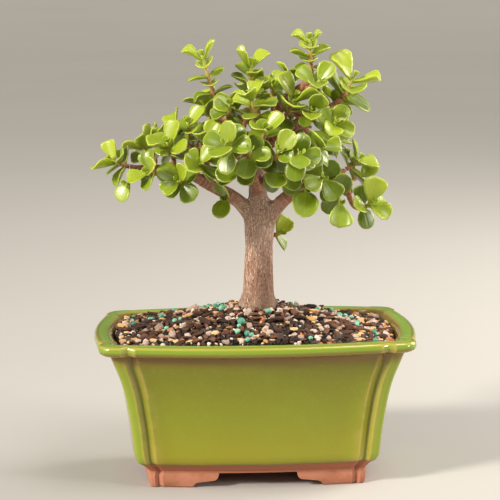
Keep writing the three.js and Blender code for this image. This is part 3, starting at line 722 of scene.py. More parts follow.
@dataclass(frozen=True)
class Bark:
    """Thin bark: pink-grey with fine fissures on the trunk, red-brown and ringed on the branches."""

    pale: Point = (238, 202, 180)
    tan: Point = (176, 126, 98)
    dark: Point = (98, 56, 38)
    branch: Point = (154, 88, 52)
    branch_dark: Point = (100, 54, 30)
    scar: Point = (200, 138, 98)
    lichen: Layer = Layer((150, 134, 112), 0.5, 0.66, 0.3)
    streaks: Layer = Layer((176, 126, 98), 0.5, 0.64, 0.45)
    painted_right_shade: Layer = Layer((114, 74, 48), 0.002, 0.008, 0.6)  # painted shade on the trunk's right side, by X in metres
    painted_upper_light: Layer = Layer((238, 202, 180), 0.1, 0.128, 0.65)  # painted light on the upper trunk, which the crown shades, by height in metres
    damp: Layer = Layer((150, 134, 112), 0.098, 0.084, 0.45)
    limb_streaks: Layer = Layer((176, 126, 98), 0.42, 0.66, 0.3)
    twig: Layer = Layer((188, 134, 96), 0.2, 0.0, 0.6)  # by age

    def build(self) -> Material:
        """Builds the material from the place along and around each limb.

        Returns:
            The material.
        """
        graph = Graph("bark")
        grain, age = graph.stored("grain", "Vector"), graph.stored("age")

        def streaks(across: float, along: float, detail: float) -> Socket:
            """Gives a cloudy pattern drawn out along the limb, by its patches per millimetre."""
            return graph.noise(graph.stretched(grain, (across, across, along)), 1.0, detail)

        long, fine, rings = streaks(0.5, 0.14, 5), streaks(2.2, 0.35, 5), streaks(0.12, 0.9, 3)
        fissure = graph.cracks(streaks(0.6, 0.1, 4), 0.026)
        gap, scale_tone = graph.scales(graph.stretched(grain, (0.95, 0.95, 0.36)), 0.2)
        trunk = graph.ramp(long, (0.4, self.tan), (0.66, self.pale))
        trunk = graph.lay(trunk, streaks(0.16, 0.07, 4), self.lichen)
        trunk = graph.lay(trunk, fine, self.streaks)
        trunk = graph.blend(graph.share(scale_tone, 0.3), trunk, self.pale)
        # the trunk is painted darker on its right side as shade, and paler high up as light where the crown
        # shades it
        side, height = graph.math("ADD", graph.part("X"), graph.share(long, 0.009)), graph.part("Z")
        for pattern, layer in ((side, self.painted_right_shade), (height, self.painted_upper_light), (height, self.damp)):
            trunk = graph.lay(trunk, pattern, layer)
        trunk = graph.blend(graph.share(gap, 0.32), trunk, self.dark)
        trunk = graph.blend(graph.share(fissure, 0.4), trunk, self.dark)
        limb = graph.ramp(rings, (0.38, self.branch_dark), (0.5, self.branch), (0.66, self.scar))
        limb = graph.lay(limb, fine, self.limb_streaks)
        limb = graph.lay(limb, age, self.twig)
        split = graph.inverse(graph.math("MAXIMUM", fissure, graph.share(gap, 0.55)))
        ringed = graph.bump(rings, 0.5, 0.0006, graph.bump(split, graph.share(age, 0.9), 0.0007))
        return graph.finish(
            Base_Color=graph.blend(age, limb, trunk),
            Roughness=graph.line(fine, 0.3, 0.45),
            Normal=graph.bump(fine, 0.7, 0.0005, ringed),
            Specular_IOR_Level=0.35,
        )


@dataclass(frozen=True)
class Grit:
    """One kind of grain in the soil, from a dark tone to a light one."""

    name: str
    dark: Point
    light: Point
    roughness: float = 0.9

    def build(self) -> Material:
        """Builds the material from each grain's own tone.

        Returns:
            The material.
        """
        graph = Graph(self.name)
        speck = graph.noise(graph.place(), 1400, 5)
        shade = graph.math("ADD", graph.share(graph.stored("tone"), 0.75), graph.share(speck, 0.45))
        return graph.finish(
            Base_Color=graph.ramp(graph.math("SUBTRACT", shade, 0.1), (0.1, self.dark), (0.85, self.light)),
            Roughness=self.roughness,
            Normal=graph.bump(speck, 0.7, 0.0004),
            Specular_IOR_Level=0.3,
        )


@dataclass(frozen=True)
class MouldedMesh:
    """Dull black plastic, as moulded drain screens are made of, with a little dust."""

    black: Point = (28, 30, 32)
    dust: Layer = Layer((92, 84, 74), 0.5, 0.75, 0.4)

    def build(self) -> Material:
        """Builds the material with its dust and its moulding grain.

        Returns:
            The material.
        """
        graph = Graph("mesh_plastic")
        where = graph.place()
        return graph.finish(
            Base_Color=graph.lay(self.black, graph.noise(where, 300, 4), self.dust),
            Roughness=0.6,
            Normal=graph.bump(graph.noise(where, 2500, 2), 0.3, 0.0001),
        )


@dataclass(frozen=True)
class StudioFloor:
    """A plain pale floor."""

    dark: Point = (176, 173, 168)
    light: Point = (182, 180, 175)

    def build(self) -> Material:
        """Builds the floor's material."""
        graph = Graph("studio_floor")
        haze = graph.noise(graph.place(), 1.5, 2)
        return graph.finish(Base_Color=graph.blend(haze, self.dark, self.light), Roughness=0.85)


# --- the pot
@dataclass(frozen=True)
class PotLevel:
    """The pot's plan at one height: its half sizes, the corner lobes and the grooves beside them."""

    z: float
    x: float
    y: float
    lobe: float  # the lobe's size
    groove: float  # the groove's depth
    half: float  # and its half width
    thin: float = 0.0  # how far the glaze has run off, from 0 to 1; its rise just below the rim is painted shade under the rim


@dataclass
class Pot:
    """A rectangular pot with a rolled rim, lobed corners and four bracket feet."""

    width: float = 163.4
    depth: float = 106.0
    bow_x: float = 4.0  # how far the short sides bow out at the rim
    bow_y: float = 6.0
    floor_bottom: float = 9.0
    floor_top: float = 15.0
    drain_radius: float = 6.0
    drain_spacing: float = 56.0
    foot_wall: float = 9.0
    long_arch: float = 19.4  # half length of the arch between two feet
    short_arch: float = 5.0
    overshoot: float = 10.0  # how far a cutting bar is longer than the pot
    side_points: int = 6  # on half a side's panel
    groove_points: int = 16  # across a groove and the beads on both sides of it
    lobe_points: int = 7
    groove_reach: float = 1.95  # how far a groove and its bead reach, in its half widths
    lobe_share: float = 0.8  # the most of a lobe that they may take
    lip: float = 1.3  # the same reach on the groove's own scale, where 1 is the bead's middle
    roundness: float = 1.25
    bead: float = 0.3  # how far the groove's edges stand proud, as a share of its depth
    bead_width: float = 0.26
    softened: float = 0.72  # the groove's depth under its glaze, as a share
    step: float = 1.3  # spacing of the wall's levels
    sharp: float = 38.0  # the angle past which an edge stays sharp
    arch_outline: tuple[tuple[float, float], ...] = (  # how far beyond the arch's half length, and how high
        (13.2, -1.0), (13.2, 0.0), (12.8, 0.9), (12.2, 1.7), (11.4, 2.3), (10.4, 2.6),
        (3.8, 3.4), (2.4, 3.6), (1.3, 4.2), (0.5, 5.4), (0.0, 7.5),
    )
    # each level's thin figure rises just under the rim as painted shade, and on the rim's edges where the
    # glaze runs thin
    outside: tuple[PotLevel, ...] = (
        PotLevel(9, 57.6, 32.6, 7.7, 1.6, 1.6),
        PotLevel(10.4, 58.6, 33.6, 8, 1.6, 1.6),
        PotLevel(11.4, 59.6, 34.5, 8.4, 1.6, 1.6),
        PotLevel(12.0, 60.7, 35.4, 8.9, 1.6, 1.7),
        PotLevel(12.9, 62.2, 36.6, 9.6, 1.7, 1.8),
        PotLevel(15, 63.5, 37.7, 10.2, 1.8, 1.9),
        PotLevel(20, 64.2, 38.2, 10.4, 1.9, 2),
        PotLevel(26, 64.8, 38.7, 10.5, 2, 2),
        PotLevel(33, 65.7, 39.5, 10.65, 2, 2),
        PotLevel(40, 66.8, 40.4, 10.8, 2, 2),
        PotLevel(47, 68.0, 41.5, 11, 2, 2.05),
        PotLevel(53, 69.4, 42.8, 11.2, 2, 2.1, 0.02),
        PotLevel(58, 71.0, 44.2, 11.6, 2, 2.15, 0.08),
        PotLevel(63, 72.9, 45.9, 12, 2, 2.2, 0.22),
        PotLevel(67, 74.5, 47.2, 12.8, 2, 2.2, 0.6),
        PotLevel(69.3, 75.5, 48.0, 13.6, 1.9, 2.2, 1.0),
        PotLevel(70.0, 76.9, 49.2, 14.4, 1.8, 2.2, 0.9),
        PotLevel(70.5, 79.3, 51.2, 16.4, 1.7, 2.2, 0.5),
        PotLevel(71.5, 81.0, 52.5, 17.6, 1.65, 2.3, 0.1),
        PotLevel(73, 81.7, 53, 18.3, 1.6, 2.4),
        PotLevel(74.5, 81.5, 52.8, 18.2, 1.45, 2.4, 0.1),
        PotLevel(75.3, 80.9, 52.2, 17.9, 1.1, 2.4, 0.35),
        PotLevel(75.8, 79.9, 51.2, 17.4, 0.7, 2.4, 0.6),
        PotLevel(76, 78.6, 49.9, 16, 0.3, 2.4, 0.15),
        PotLevel(76.0, 76.9, 48.4, 15.4, 0.1, 2.2, 0.0),
        PotLevel(75.7, 74.7, 46.2, 15, 0, 2, 0.3),
        PotLevel(74.8, 73.1, 44.6, 15, 0, 2, 0.8),
        PotLevel(73.2, 72.2, 43.6, 15, 0, 2, 0.7),
        PotLevel(58, 65.6, 38.6, 13, 0, 2),
        PotLevel(20, 58, 32.2, 11, 0, 2),
        PotLevel(15, 54.4, 28.8, 10, 0, 2),
    )
    inner_levels: int = 4  # how many of them, from the last, line the inside
    feet: tuple[PotLevel, ...] = (
        PotLevel(0, 56.0, 31.4, 7.2, 1.5, 1.4),
        PotLevel(0.5, 56.5, 31.9, 7.2, 1.5, 1.4),
        PotLevel(6, 57.2, 32.4, 7.6, 1.5, 1.4),
        PotLevel(6.8, 56.8, 32.0, 7.6, 1.5, 1.4),
        PotLevel(9.5, 57.1, 32.2, 8, 1.5, 1.5),
    )

    def plan(self, level: PotLevel) -> np.ndarray:
        """Draws the pot's plan at one level, as an anticlockwise ring of points."""
        return self.marked_plan(level)[0]

    def side(self, half: float, bow: float, level: PotLevel, corner: float) -> tuple[np.ndarray, ...]:
        """Draws half of one side, from its middle into its lobe.

        Args:
            half: The side's distance from the pot's middle.
            bow: How far it bows.
            level: The level.
            corner: The distance from the side's middle to the corner.

        Returns:
            For each point, its place along the side, its distance from the pot's middle, and how far it is
            from the groove's valley.
        """
        valley = corner - level.lobe
        reach_out = self.groove_reach * level.half
        reach_in = min(reach_out, self.lobe_share * (level.lobe - bow))
        shares = np.linspace(0, 1, self.groove_points // 2 + 1)
        along = np.concatenate([
            np.linspace(0, valley - reach_out, self.side_points),
            valley - reach_out * (1 - shares[1:]),
            valley + reach_in * shares[1:],
        ])
        from_valley = along - valley
        away = np.abs(from_valley) / (np.where(from_valley < 0, reach_out, reach_in) / self.lip)
        bead = self.bead * np.exp(-(((away - 1.0) / self.bead_width) ** 2))
        dip = np.clip(1 - away, 0, 1) ** self.roundness - bead
        bowed = half - bow * np.minimum(along / valley, 1.0) ** 2
        return along, bowed - self.softened * level.groove * dip, from_valley

    def marked_plan(self, level: PotLevel) -> tuple[np.ndarray, np.ndarray]:
        """Draws the pot's plan at one level and marks how far each point is from a groove's valley.

        Args:
            level: The level.

        Returns:
            A ring of points, anticlockwise from the middle of the right side, and each one's mark: 0.5 in a
            valley, less on the panel beside it and more on the lobe, 0.1 for each millimetre.
        """
        bow_x = self.bow_x * level.x / (self.width / 2)
        bow_y = self.bow_y * level.y / (self.depth / 2)
        along_y, right, marks_y = self.side(level.x, bow_x, level, level.y)
        along_x, top, marks_x = self.side(level.y, bow_y, level, level.x)
        turn = np.linspace(0, math.pi / 2, self.lobe_points + 2)[1:-1]
        lobe_x = along_x[-1] + (right[-1] - along_x[-1]) * np.cos(turn)
        lobe_y = along_y[-1] + (top[-1] - along_y[-1]) * np.sin(turn)
        on_lobe = np.full(self.lobe_points, 5.0)
        quarter = np.column_stack([
            np.concatenate([right, lobe_x, along_x[::-1]]),
            np.concatenate([along_y, lobe_y, top[::-1]]),
            0.5 + 0.1 * np.concatenate([marks_y, on_lobe, marks_x[::-1]]),
        ])
        half_ring = np.concatenate([quarter, (quarter * [-1, 1, 1])[::-1][1:]])
        ring = np.concatenate([half_ring, half_ring[1:-1] * [-1, -1, 1]])
        marks = np.clip(ring[:, 2], 0, 1)
        ring[:, 2] = level.z
        return ring, marks

    def smooth_levels(self, levels: Sequence[PotLevel]) -> list[PotLevel]:
        """Adds levels between the given ones along a smooth profile.

        Args:
            levels: The levels that shape the wall.

        Returns:
            The levels, spaced by about twice the wall's step, and six at most for each given one.
        """
        table = np.array([astuple(level) for level in levels], float)
        found: list[PotLevel] = []
        for k in range(len(table) - 1):
            before, start, end, after = table[[max(k - 1, 0), k, k + 1, min(k + 2, len(table) - 1)]]
            length = float(np.linalg.norm((end - start)[:3]))
            pieces = max(1, min(6, round(length / (self.step * 2))))
            reach_in = float(np.linalg.norm((start - before)[:3])) or length
            reach_out = float(np.linalg.norm((after - end)[:3])) or length
            slope_in = (end - before) * length / (reach_in + length)
            slope_out = (after - start) * length / (reach_out + length)
            for share in np.arange(pieces) / pieces:
                cube, square = share**3, share**2
                value = (
                    (2 * cube - 3 * square + 1) * start
                    + (cube - 2 * square + share) * slope_in
                    + (3 * square - 2 * cube) * end
                    + (cube - square) * slope_out
                )
                found.append(PotLevel(*value))
        found.append(PotLevel(*table[-1]))
        return found

    def arch(self, half_length: float, through: float) -> Object:
        """Models the bar that cuts a bracketed arch between two feet.

        Args:
            half_length: Half the arch's length at its top.
            through: How far the bar runs along Y.

        Returns:
            The bar.
        """
        right = [(half_length + away, high) for away, high in self.arch_outline]
        outline = right + [(-x, z) for x, z in reversed(right)]
        bar = mesh_object("arch_cut", [(x, through / 2, z) for x, z in outline], [range(len(outline))])
        with edit_mode(bar):
            bpy.ops.mesh.extrude_region_move(TRANSFORM_OT_translate={"value": (0, -through, 0)})
        outward(bar)
        return bar

    def cut(self, thing: Object, cutter: Object, operation: str = "DIFFERENCE") -> None:
        """Cuts one shape from another, or joins it on.

        Args:
            thing: The shape that is kept.
            cutter: The shape that is used up.
            operation: DIFFERENCE or UNION.
        """
        apply_modifier(thing, "BOOLEAN", object=cutter, operation=operation, solver="EXACT")
        bpy.data.objects.remove(cutter)

    def ring_of_feet(self) -> Object:
        """Models the four bracket feet: a ring that is hollowed and cut by an arch along each side.

        Returns:
            The ring.
        """
        ring = mesh_object("feet", *loft([self.plan(level) for level in self.smooth_levels(self.feet)]))
        outward(ring)
        lowest = self.feet[1]
        hollow = primitive(
            "cube",
            size=1,
            location=(0, 0, (self.floor_bottom - 1) / 2),
            scale=(2 * (lowest.x - self.foot_wall), 2 * (lowest.y - self.foot_wall), self.floor_bottom + 1),
        )
        self.cut(ring, hollow)
        self.cut(ring, self.arch(self.long_arch, 2 * lowest.y + self.overshoot))
        across = self.arch(self.short_arch, 2 * lowest.x + self.overshoot)
        across.data.transform(Matrix.Rotation(math.pi / 2, 4, "Z"))
        self.cut(ring, across)
        return ring

    def mark_glaze(self, mesh: Mesh, levels: Sequence[PotLevel]) -> None:
        """Stores at each vertex how far the glaze has run off, with the painted shade under the rim, and how
        far the next groove is.

        Args:
            mesh: The finished pot.
            levels: The levels that its wall was drawn from.
        """
        plans = [self.marked_plan(level) for level in levels]
        points = np.concatenate([ring for ring, _ in plans])
        marks = np.concatenate([mark for _, mark in plans])
        run_off_and_shade = np.repeat([level.thin for level in levels], len(plans[0][0]))
        tree = KDTree(len(points))
        for number, point in enumerate(points):
            tree.insert(point, number)
        tree.balance()
        nearest = [tree.find(point)[1] for point in points_of(mesh)]
        set_numbers(mesh, "beside", marks[nearest])
        set_numbers(mesh, "thin", np.clip(run_off_and_shade[nearest], 0, 1))

    def build(self) -> None:
        """Models the pot as one fired piece and dresses it."""
        levels = self.smooth_levels(self.outside)
        body = mesh_object("pot_glazed", *loft([self.plan(level) for level in levels]))
        outward(body)
        self.cut(body, self.ring_of_feet(), "UNION")
        for side in (-1, 1):
            drill = primitive(
                "cylinder",
                vertices=32,
                radius=self.drain_radius,
                depth=self.floor_top + 4,
                location=(side * self.drain_spacing / 2, 0, self.floor_top / 2),
            )
            self.cut(body, drill)
        outward(body, 0.01)
        shade_by_angle(body, self.sharp)
        self.mark_glaze(body.data, levels)
        place(body, "glazed_stoneware", "pot", Glaze().build())


# --- the tree's lines
def row(*values: float) -> np.ndarray:
    """Makes a point or direction."""
    return np.array(values, float)


def unit(vector: np.ndarray) -> np.ndarray:
    """Scales a vector to length 1."""
    return vector / np.linalg.norm(vector)


class Line:
    """A smooth curve in space, followed from 0 to 1."""

    def point(self, share: float) -> np.ndarray:
        """Gives the point at a share of the way."""
        raise NotImplementedError

    def tangent(self, share: float) -> np.ndarray:
        """Gives the direction at a share of the way."""
        near = 0.0001
        return unit(self.point(min(share + near, 1.0)) - self.point(max(share - near, 0.0)))

    def points(self, steps: int) -> np.ndarray:
        """Gives the points at even shares, both ends included."""
        return np.array([self.point(k / steps) for k in range(steps + 1)])


@dataclass
class Arc(Line):
    """A curve drawn by its control points, with one bow for three of them and an S for four."""

    controls: list[np.ndarray]

    def point(self, share: float) -> np.ndarray:
        """Gives the point at a share of the way.

        Args:
            share: The share of the way.

        Returns:
            The point.
        """
        level = list(self.controls)
        while len(level) > 1:
            level = [a * (1 - share) + b * share for a, b in zip(level, level[1:])]
        return level[0]


@dataclass
class Through(Line):
    """A curve that runs smoothly through its points."""

    stops: list[np.ndarray]

    def point(self, share: float) -> np.ndarray:
        """Gives the point at a share of the way.

        Args:
            share: The share of the way.

        Returns:
            The point.
        """
        place_on = (len(self.stops) - 1) * share
        k = int(math.floor(place_on))
        rest = place_on - k
        if rest == 0 and k == len(self.stops) - 1:
            k, rest = k - 1, 1.0
        start, end = self.stops[k], self.stops[k + 1]
        before = self.stops[k - 1] if k > 0 else 2 * start - end
        after = self.stops[k + 2] if k + 2 < len(self.stops) else 2 * end - start
        slope_in, slope_out = (end - before) / 2, (after - start) / 2
        square = -3 * start + 3 * end - 2 * slope_in - slope_out
        cube = 2 * start - 2 * end + slope_in + slope_out
        return start + slope_in * rest + square * rest**2 + cube * rest**3


def reference_for(start: np.ndarray, end: np.ndarray) -> np.ndarray:
    """Gives the direction that a run's frames are built on, which is never along the run."""
    return row(0, 0, 1) if abs(unit(end - start)[1]) > 0.7 else row(0, 1, 0)


def across_frame(along: np.ndarray, reference: np.ndarray) -> tuple[np.ndarray, np.ndarray]:
    """Gives two directions square to a run, the first one lying across the view from the front."""
    first = unit(np.cross(along, reference))
    return first, unit(np.cross(along, first))


@dataclass(frozen=True)
class Limb:
    """A branch: its radii at both ends and the points that it runs through."""

    thick: float
    thin: float
    stops: tuple[Point, ...]

    def line(self) -> Through:
        """Gives the branch's middle line."""
        return Through([row(*stop) for stop in self.stops])


@dataclass(frozen=True)
class Shoot:
    """A leafy shoot: what bears it and where, its stem, and its pairs of leaves."""

    limb: str
    at: float
    foot: Point
    tip: Point
    pairs: int
    leaf: float
    turn: float
    open: float = 50.0

    def ends(self) -> tuple[np.ndarray, np.ndarray]:
        """Gives the stem's foot and its tip."""
        return row(*self.foot), row(*self.tip)

    def length(self) -> float:
        """Gives the stem's length, end to end."""
        return math.dist(self.foot, self.tip)

    def down(self, pair: int) -> float:
        """Gives how far down the shoot a pair of leaves is, from 0 at the tip to 1 at the foot."""
        return pair / max(self.pairs - 1, 1)

    def reference(self) -> np.ndarray:
        """Gives the direction that the stem's frames are built on."""
        return reference_for(*self.ends())

    def vigour(self) -> float:
        """Gives how young the leaves are, from 0 to 1: shoots that rise or reach out grow fastest.

        Returns:
            The vigour.
        """
        if self.limb == "trunk":
            return 0.95
        rise = (self.tip[2] - self.foot[2]) / self.length()
        outer = min(math.hypot(self.tip[0] - 5, self.tip[2] - 165) / 65, 1.0)  # from the crown's middle
        return clamped(0.34 + 0.34 * rise + 0.42 * outer, 0.2)

    def stem(self) -> Arc:
        """Gives the stem's middle line, which lifts a little towards its tip.

        Returns:
            The line.
        """
        foot, tip = self.ends()
        middle = (foot + tip) * 0.5
        middle[2] -= 0.1 * math.hypot(tip[0] - foot[0], tip[1] - foot[1])
        return Arc([foot, middle, tip])


@dataclass(frozen=True)
class Blade:
    """One leaf's place: its root, its own three directions and its size."""

    root: np.ndarray
    side: np.ndarray
    run: np.ndarray
    face: np.ndarray
    length: float
    width: float
    down: float  # 0 at the shoot's tip, 1 at its foot

    def at(self, across: float, along: float) -> np.ndarray:
        """Gives a point in the blade, at shares of its half width and its length."""
        return self.root + self.side * (across * self.width / 2) + self.run * (along * self.length)


class Draws:
    """Seeded draws from 0 to 1, the same as in the part's own source."""

    def __init__(self, seed: int) -> None:
        """Starts the draws."""
        self.state = seed

    def next(self) -> float:
        """Makes one draw."""
        self.state = (self.state * 1664525 + 1013904223) % 4294967296
        return self.state / 4294967296


TRUNK: tuple[tuple[Point, float], ...] = (
    ((2.2, 4, 48), 7.6),
    ((2.2, 4, 70), 8.4),
    ((2.2, 4, 84), 9.3),
    ((2.3, 4, 90), 8.6),
    ((2.4, 4, 97), 7.8),
    ((2.6, 4, 106), 7.5),
    ((2.9, 4, 116), 7.3),
    ((3.1, 4, 125), 7.9),
    ((3.4, 4, 132), 8.7),
    ((3.4, 4, 137.5), 7.4),
    ((3.0, 4, 141), 5.2),
)

LIMBS: dict[str, Limb] = {
    "leader": Limb(
        5, 1.7,
        ((3, 4, 130), (2.4, 5, 150), (4, 6, 168), (11, 5, 183), (21, 3, 194), (29, 1, 201)),
    ),
    "left": Limb(
        4, 1.3,
        ((1, 3, 130), (-9, 1, 141), (-23, -4, 149.5), (-36, -8, 157), (-48, -11, 158.5), (-60, -10, 158.8)),
    ),
    "right": Limb(4.3, 1.5, ((5, 3, 128), (14, -1, 139.5), (25, -6, 148.5), (36, -8, 153.5), (46, -7, 152))),
    "front": Limb(2.2, 1.5, ((3, 3, 142), (0, -8, 153), (-4, -18, 160), (-9, -28, 166))),
    "front_right": Limb(2.2, 1.5, ((3, 4, 146), (9, -7, 156), (14, -19, 162), (17, -29, 165))),
    "upper_left": Limb(2.6, 1.5, ((3, 5, 152), (-6, 4, 164), (-14, 0, 176), (-18, -3, 188))),
    "upper_right": Limb(2.5, 1.5, ((4, 6, 164), (17, 5, 174), (31, 2, 182), (43, 0, 190))),
    "back": Limb(2.8, 1.5, ((3, 5, 142), (0, 16, 154), (-5, 27, 164), (-10, 35, 170))),
    "back_right": Limb(2.8, 1.5, ((4, 6, 146), (15, 15, 155), (26, 24, 162), (36, 28, 165))),
    "back_left": Limb(2.6, 1.5, ((2, 5, 148), (-12, 12, 157), (-26, 18, 162), (-38, 20, 164))),
}

SHOOTS: tuple[Shoot, ...] = (
    Shoot("leader", 1, (29.6, 0.6, 203), (28.4, -1, 221.5), 5, 10.5, 5),
    Shoot("upper_left", 1, (-18.6, -4, 191), (-25.4, -6, 214), 5, 10.5, 0),
    Shoot("upper_left", 0.45, (-1.5, 4, 191), (-0.5, 1, 209.5), 4, 11, 20),
    Shoot("front", 0.5, (0.6, -13, 180), (-1.2, -20, 195), 4, 11.5, 65),
    Shoot("leader", 0.52, (14.2, -4, 180.5), (21, -10, 193.5), 4, 15, 0),
    Shoot("upper_right", 1, (44.8, -0.6, 191.5), (51, -1.5, 202.4), 3, 15.5, 0, 66),
    Shoot("upper_right", 0.72, (36.5, -6, 176), (40, -17, 181), 4, 12, 60),
    Shoot("leader", 0.88, (28, -6, 197), (32.5, -16, 201.5), 3, 12, 40),
    Shoot("front", 1, (-11, -31, 167.8), (-15.2, -42, 173.5), 4, 13, 78),
    Shoot("front", 0.86, (-3, -30, 165), (-3.4, -43, 170.5), 4, 12, 70),
    Shoot("front_right", 0.7, (9.4, -30, 165), (10.6, -42, 170), 4, 11, 55),
    Shoot("front_right", 1, (18, -32, 165.6), (20.4, -45, 169), 4, 13, 80),
    Shoot("front_right", 0.62, (24, -21, 166), (32.5, -29, 171), 4, 12, 35),
    Shoot("right", 0.9, (46.5, -3.4, 156), (53.5, -3, 161.5), 3, 11.5, 15),
    Shoot("right", 0.72, (32.6, -14, 154), (33.4, -26, 155), 3, 13.5, 38),
    Shoot("right", 1, (53, -9, 137), (58.4, -16, 140.5), 3, 13.5, 90),
    Shoot("right", 0.84, (40.4, -13, 146), (42, -24, 142.6), 3, 13.5, 78),
    Shoot("right", 0.5, (24.6, -12, 150), (25.2, -23, 148.5), 2, 14, 82),
    Shoot("front_right", 0.45, (12, -18, 157), (12.6, -29, 158), 3, 12, 50),
    Shoot("front", 0.45, (-8.4, -18, 158), (-10, -30, 160), 3, 12, 40),
    Shoot("trunk", 0.66, (10.4, 10.7, 120.9), (14, 8.8, 122), 2, 10.6, 111, 62),
    Shoot("left", 0.62, (-34.6, -13, 152), (-37.8, -25, 154), 4, 12, 45),
    Shoot("left", 0.32, (-14, -6, 143.6), (-15, -10.6, 143), 1, 11.5, 82),
    Shoot("left", 1, (-62, -10, 159.4), (-71, -11.4, 163), 3, 12, 35),
    Shoot("left", 0.8, (-47.6, -15.4, 156.6), (-53, -23, 158), 3, 12, 25),
    Shoot("left", 0.94, (-59.4, -15, 154), (-63, -19.6, 152.4), 1, 10, 70),
    Shoot("left", 0.7, (-40, -10.4, 163), (-43, -16, 172), 4, 12, 30),
    Shoot("left", 0.5, (-30, -7.6, 167), (-33, -11.4, 181.5), 4, 11.5, 20),
    Shoot("left", 0.42, (-23.4, -9, 164), (-24.4, -18, 174), 4, 11.5, 45),
    Shoot("left", 0.5, (-26.6, -15, 160), (-27, -28, 163), 4, 11.5, 40),
    Shoot("upper_left", 0.8, (-12.6, -8, 183), (-12, -17, 190), 4, 11, 30),
    Shoot("leader", 0.6, (10, 0, 188), (9.4, -4.4, 199.5), 4, 11.5, 45),
    Shoot("leader", 0.7, (24, -7, 183), (28, -19, 187), 4, 11.5, 60),
    Shoot("front", 0.7, (3.4, -22, 172), (5, -31, 179.5), 4, 11.5, 30),
    Shoot("back", 1, (-11.4, 37, 171.5), (-15, 46, 176.5), 4, 12, 30),
    Shoot("back", 0.7, (2, 33, 169), (6, 44, 174), 4, 12, 60),
    Shoot("back_right", 0.75, (23, 33, 167), (26, 43, 171), 4, 12, 20),
    Shoot("back_right", 1, (38, 29, 166.5), (47, 34, 169), 4, 12, 45),
    Shoot("back_left", 0.7, (-24, 27, 165), (-29, 37, 168.5), 4, 12, 10),
    Shoot("back_left", 1, (-40.4, 20.6, 165), (-51, 23, 168), 4, 12, 50),
    Shoot("upper_left", 0.7, (-19, 9, 180), (-25, 17, 190), 4, 12, 35),
    Shoot("leader", 0.45, (3.4, 16, 186), (3, 20, 199), 4, 11.5, 70),
    Shoot("leader", 0.66, (19, 13, 191), (21, 19, 203), 4, 11.5, 15),
    Shoot("upper_right", 0.8, (39, 9, 186), (46, 16, 192), 4, 12, 55),
    Shoot("back", 0.55, (-5, 27, 179), (-8, 34, 188), 4, 12, 15),
    Shoot("back_right", 0.5, (19, 24, 176), (24, 31, 185), 4, 12, 40),
    Shoot("right", 0.85, (46, 3, 150), (57, 9, 151), 3, 12, 30),
    Shoot("back_left", 0.6, (-33, 12, 169), (-41, 12, 177), 4, 12, 60),
    Shoot("upper_right", 0.55, (33, 14, 172), (43, 19, 174.5), 4, 12, 25),
    Shoot("left", 0.86, (-50, -5.4, 163), (-56, 1, 169), 3, 12, 20),
)


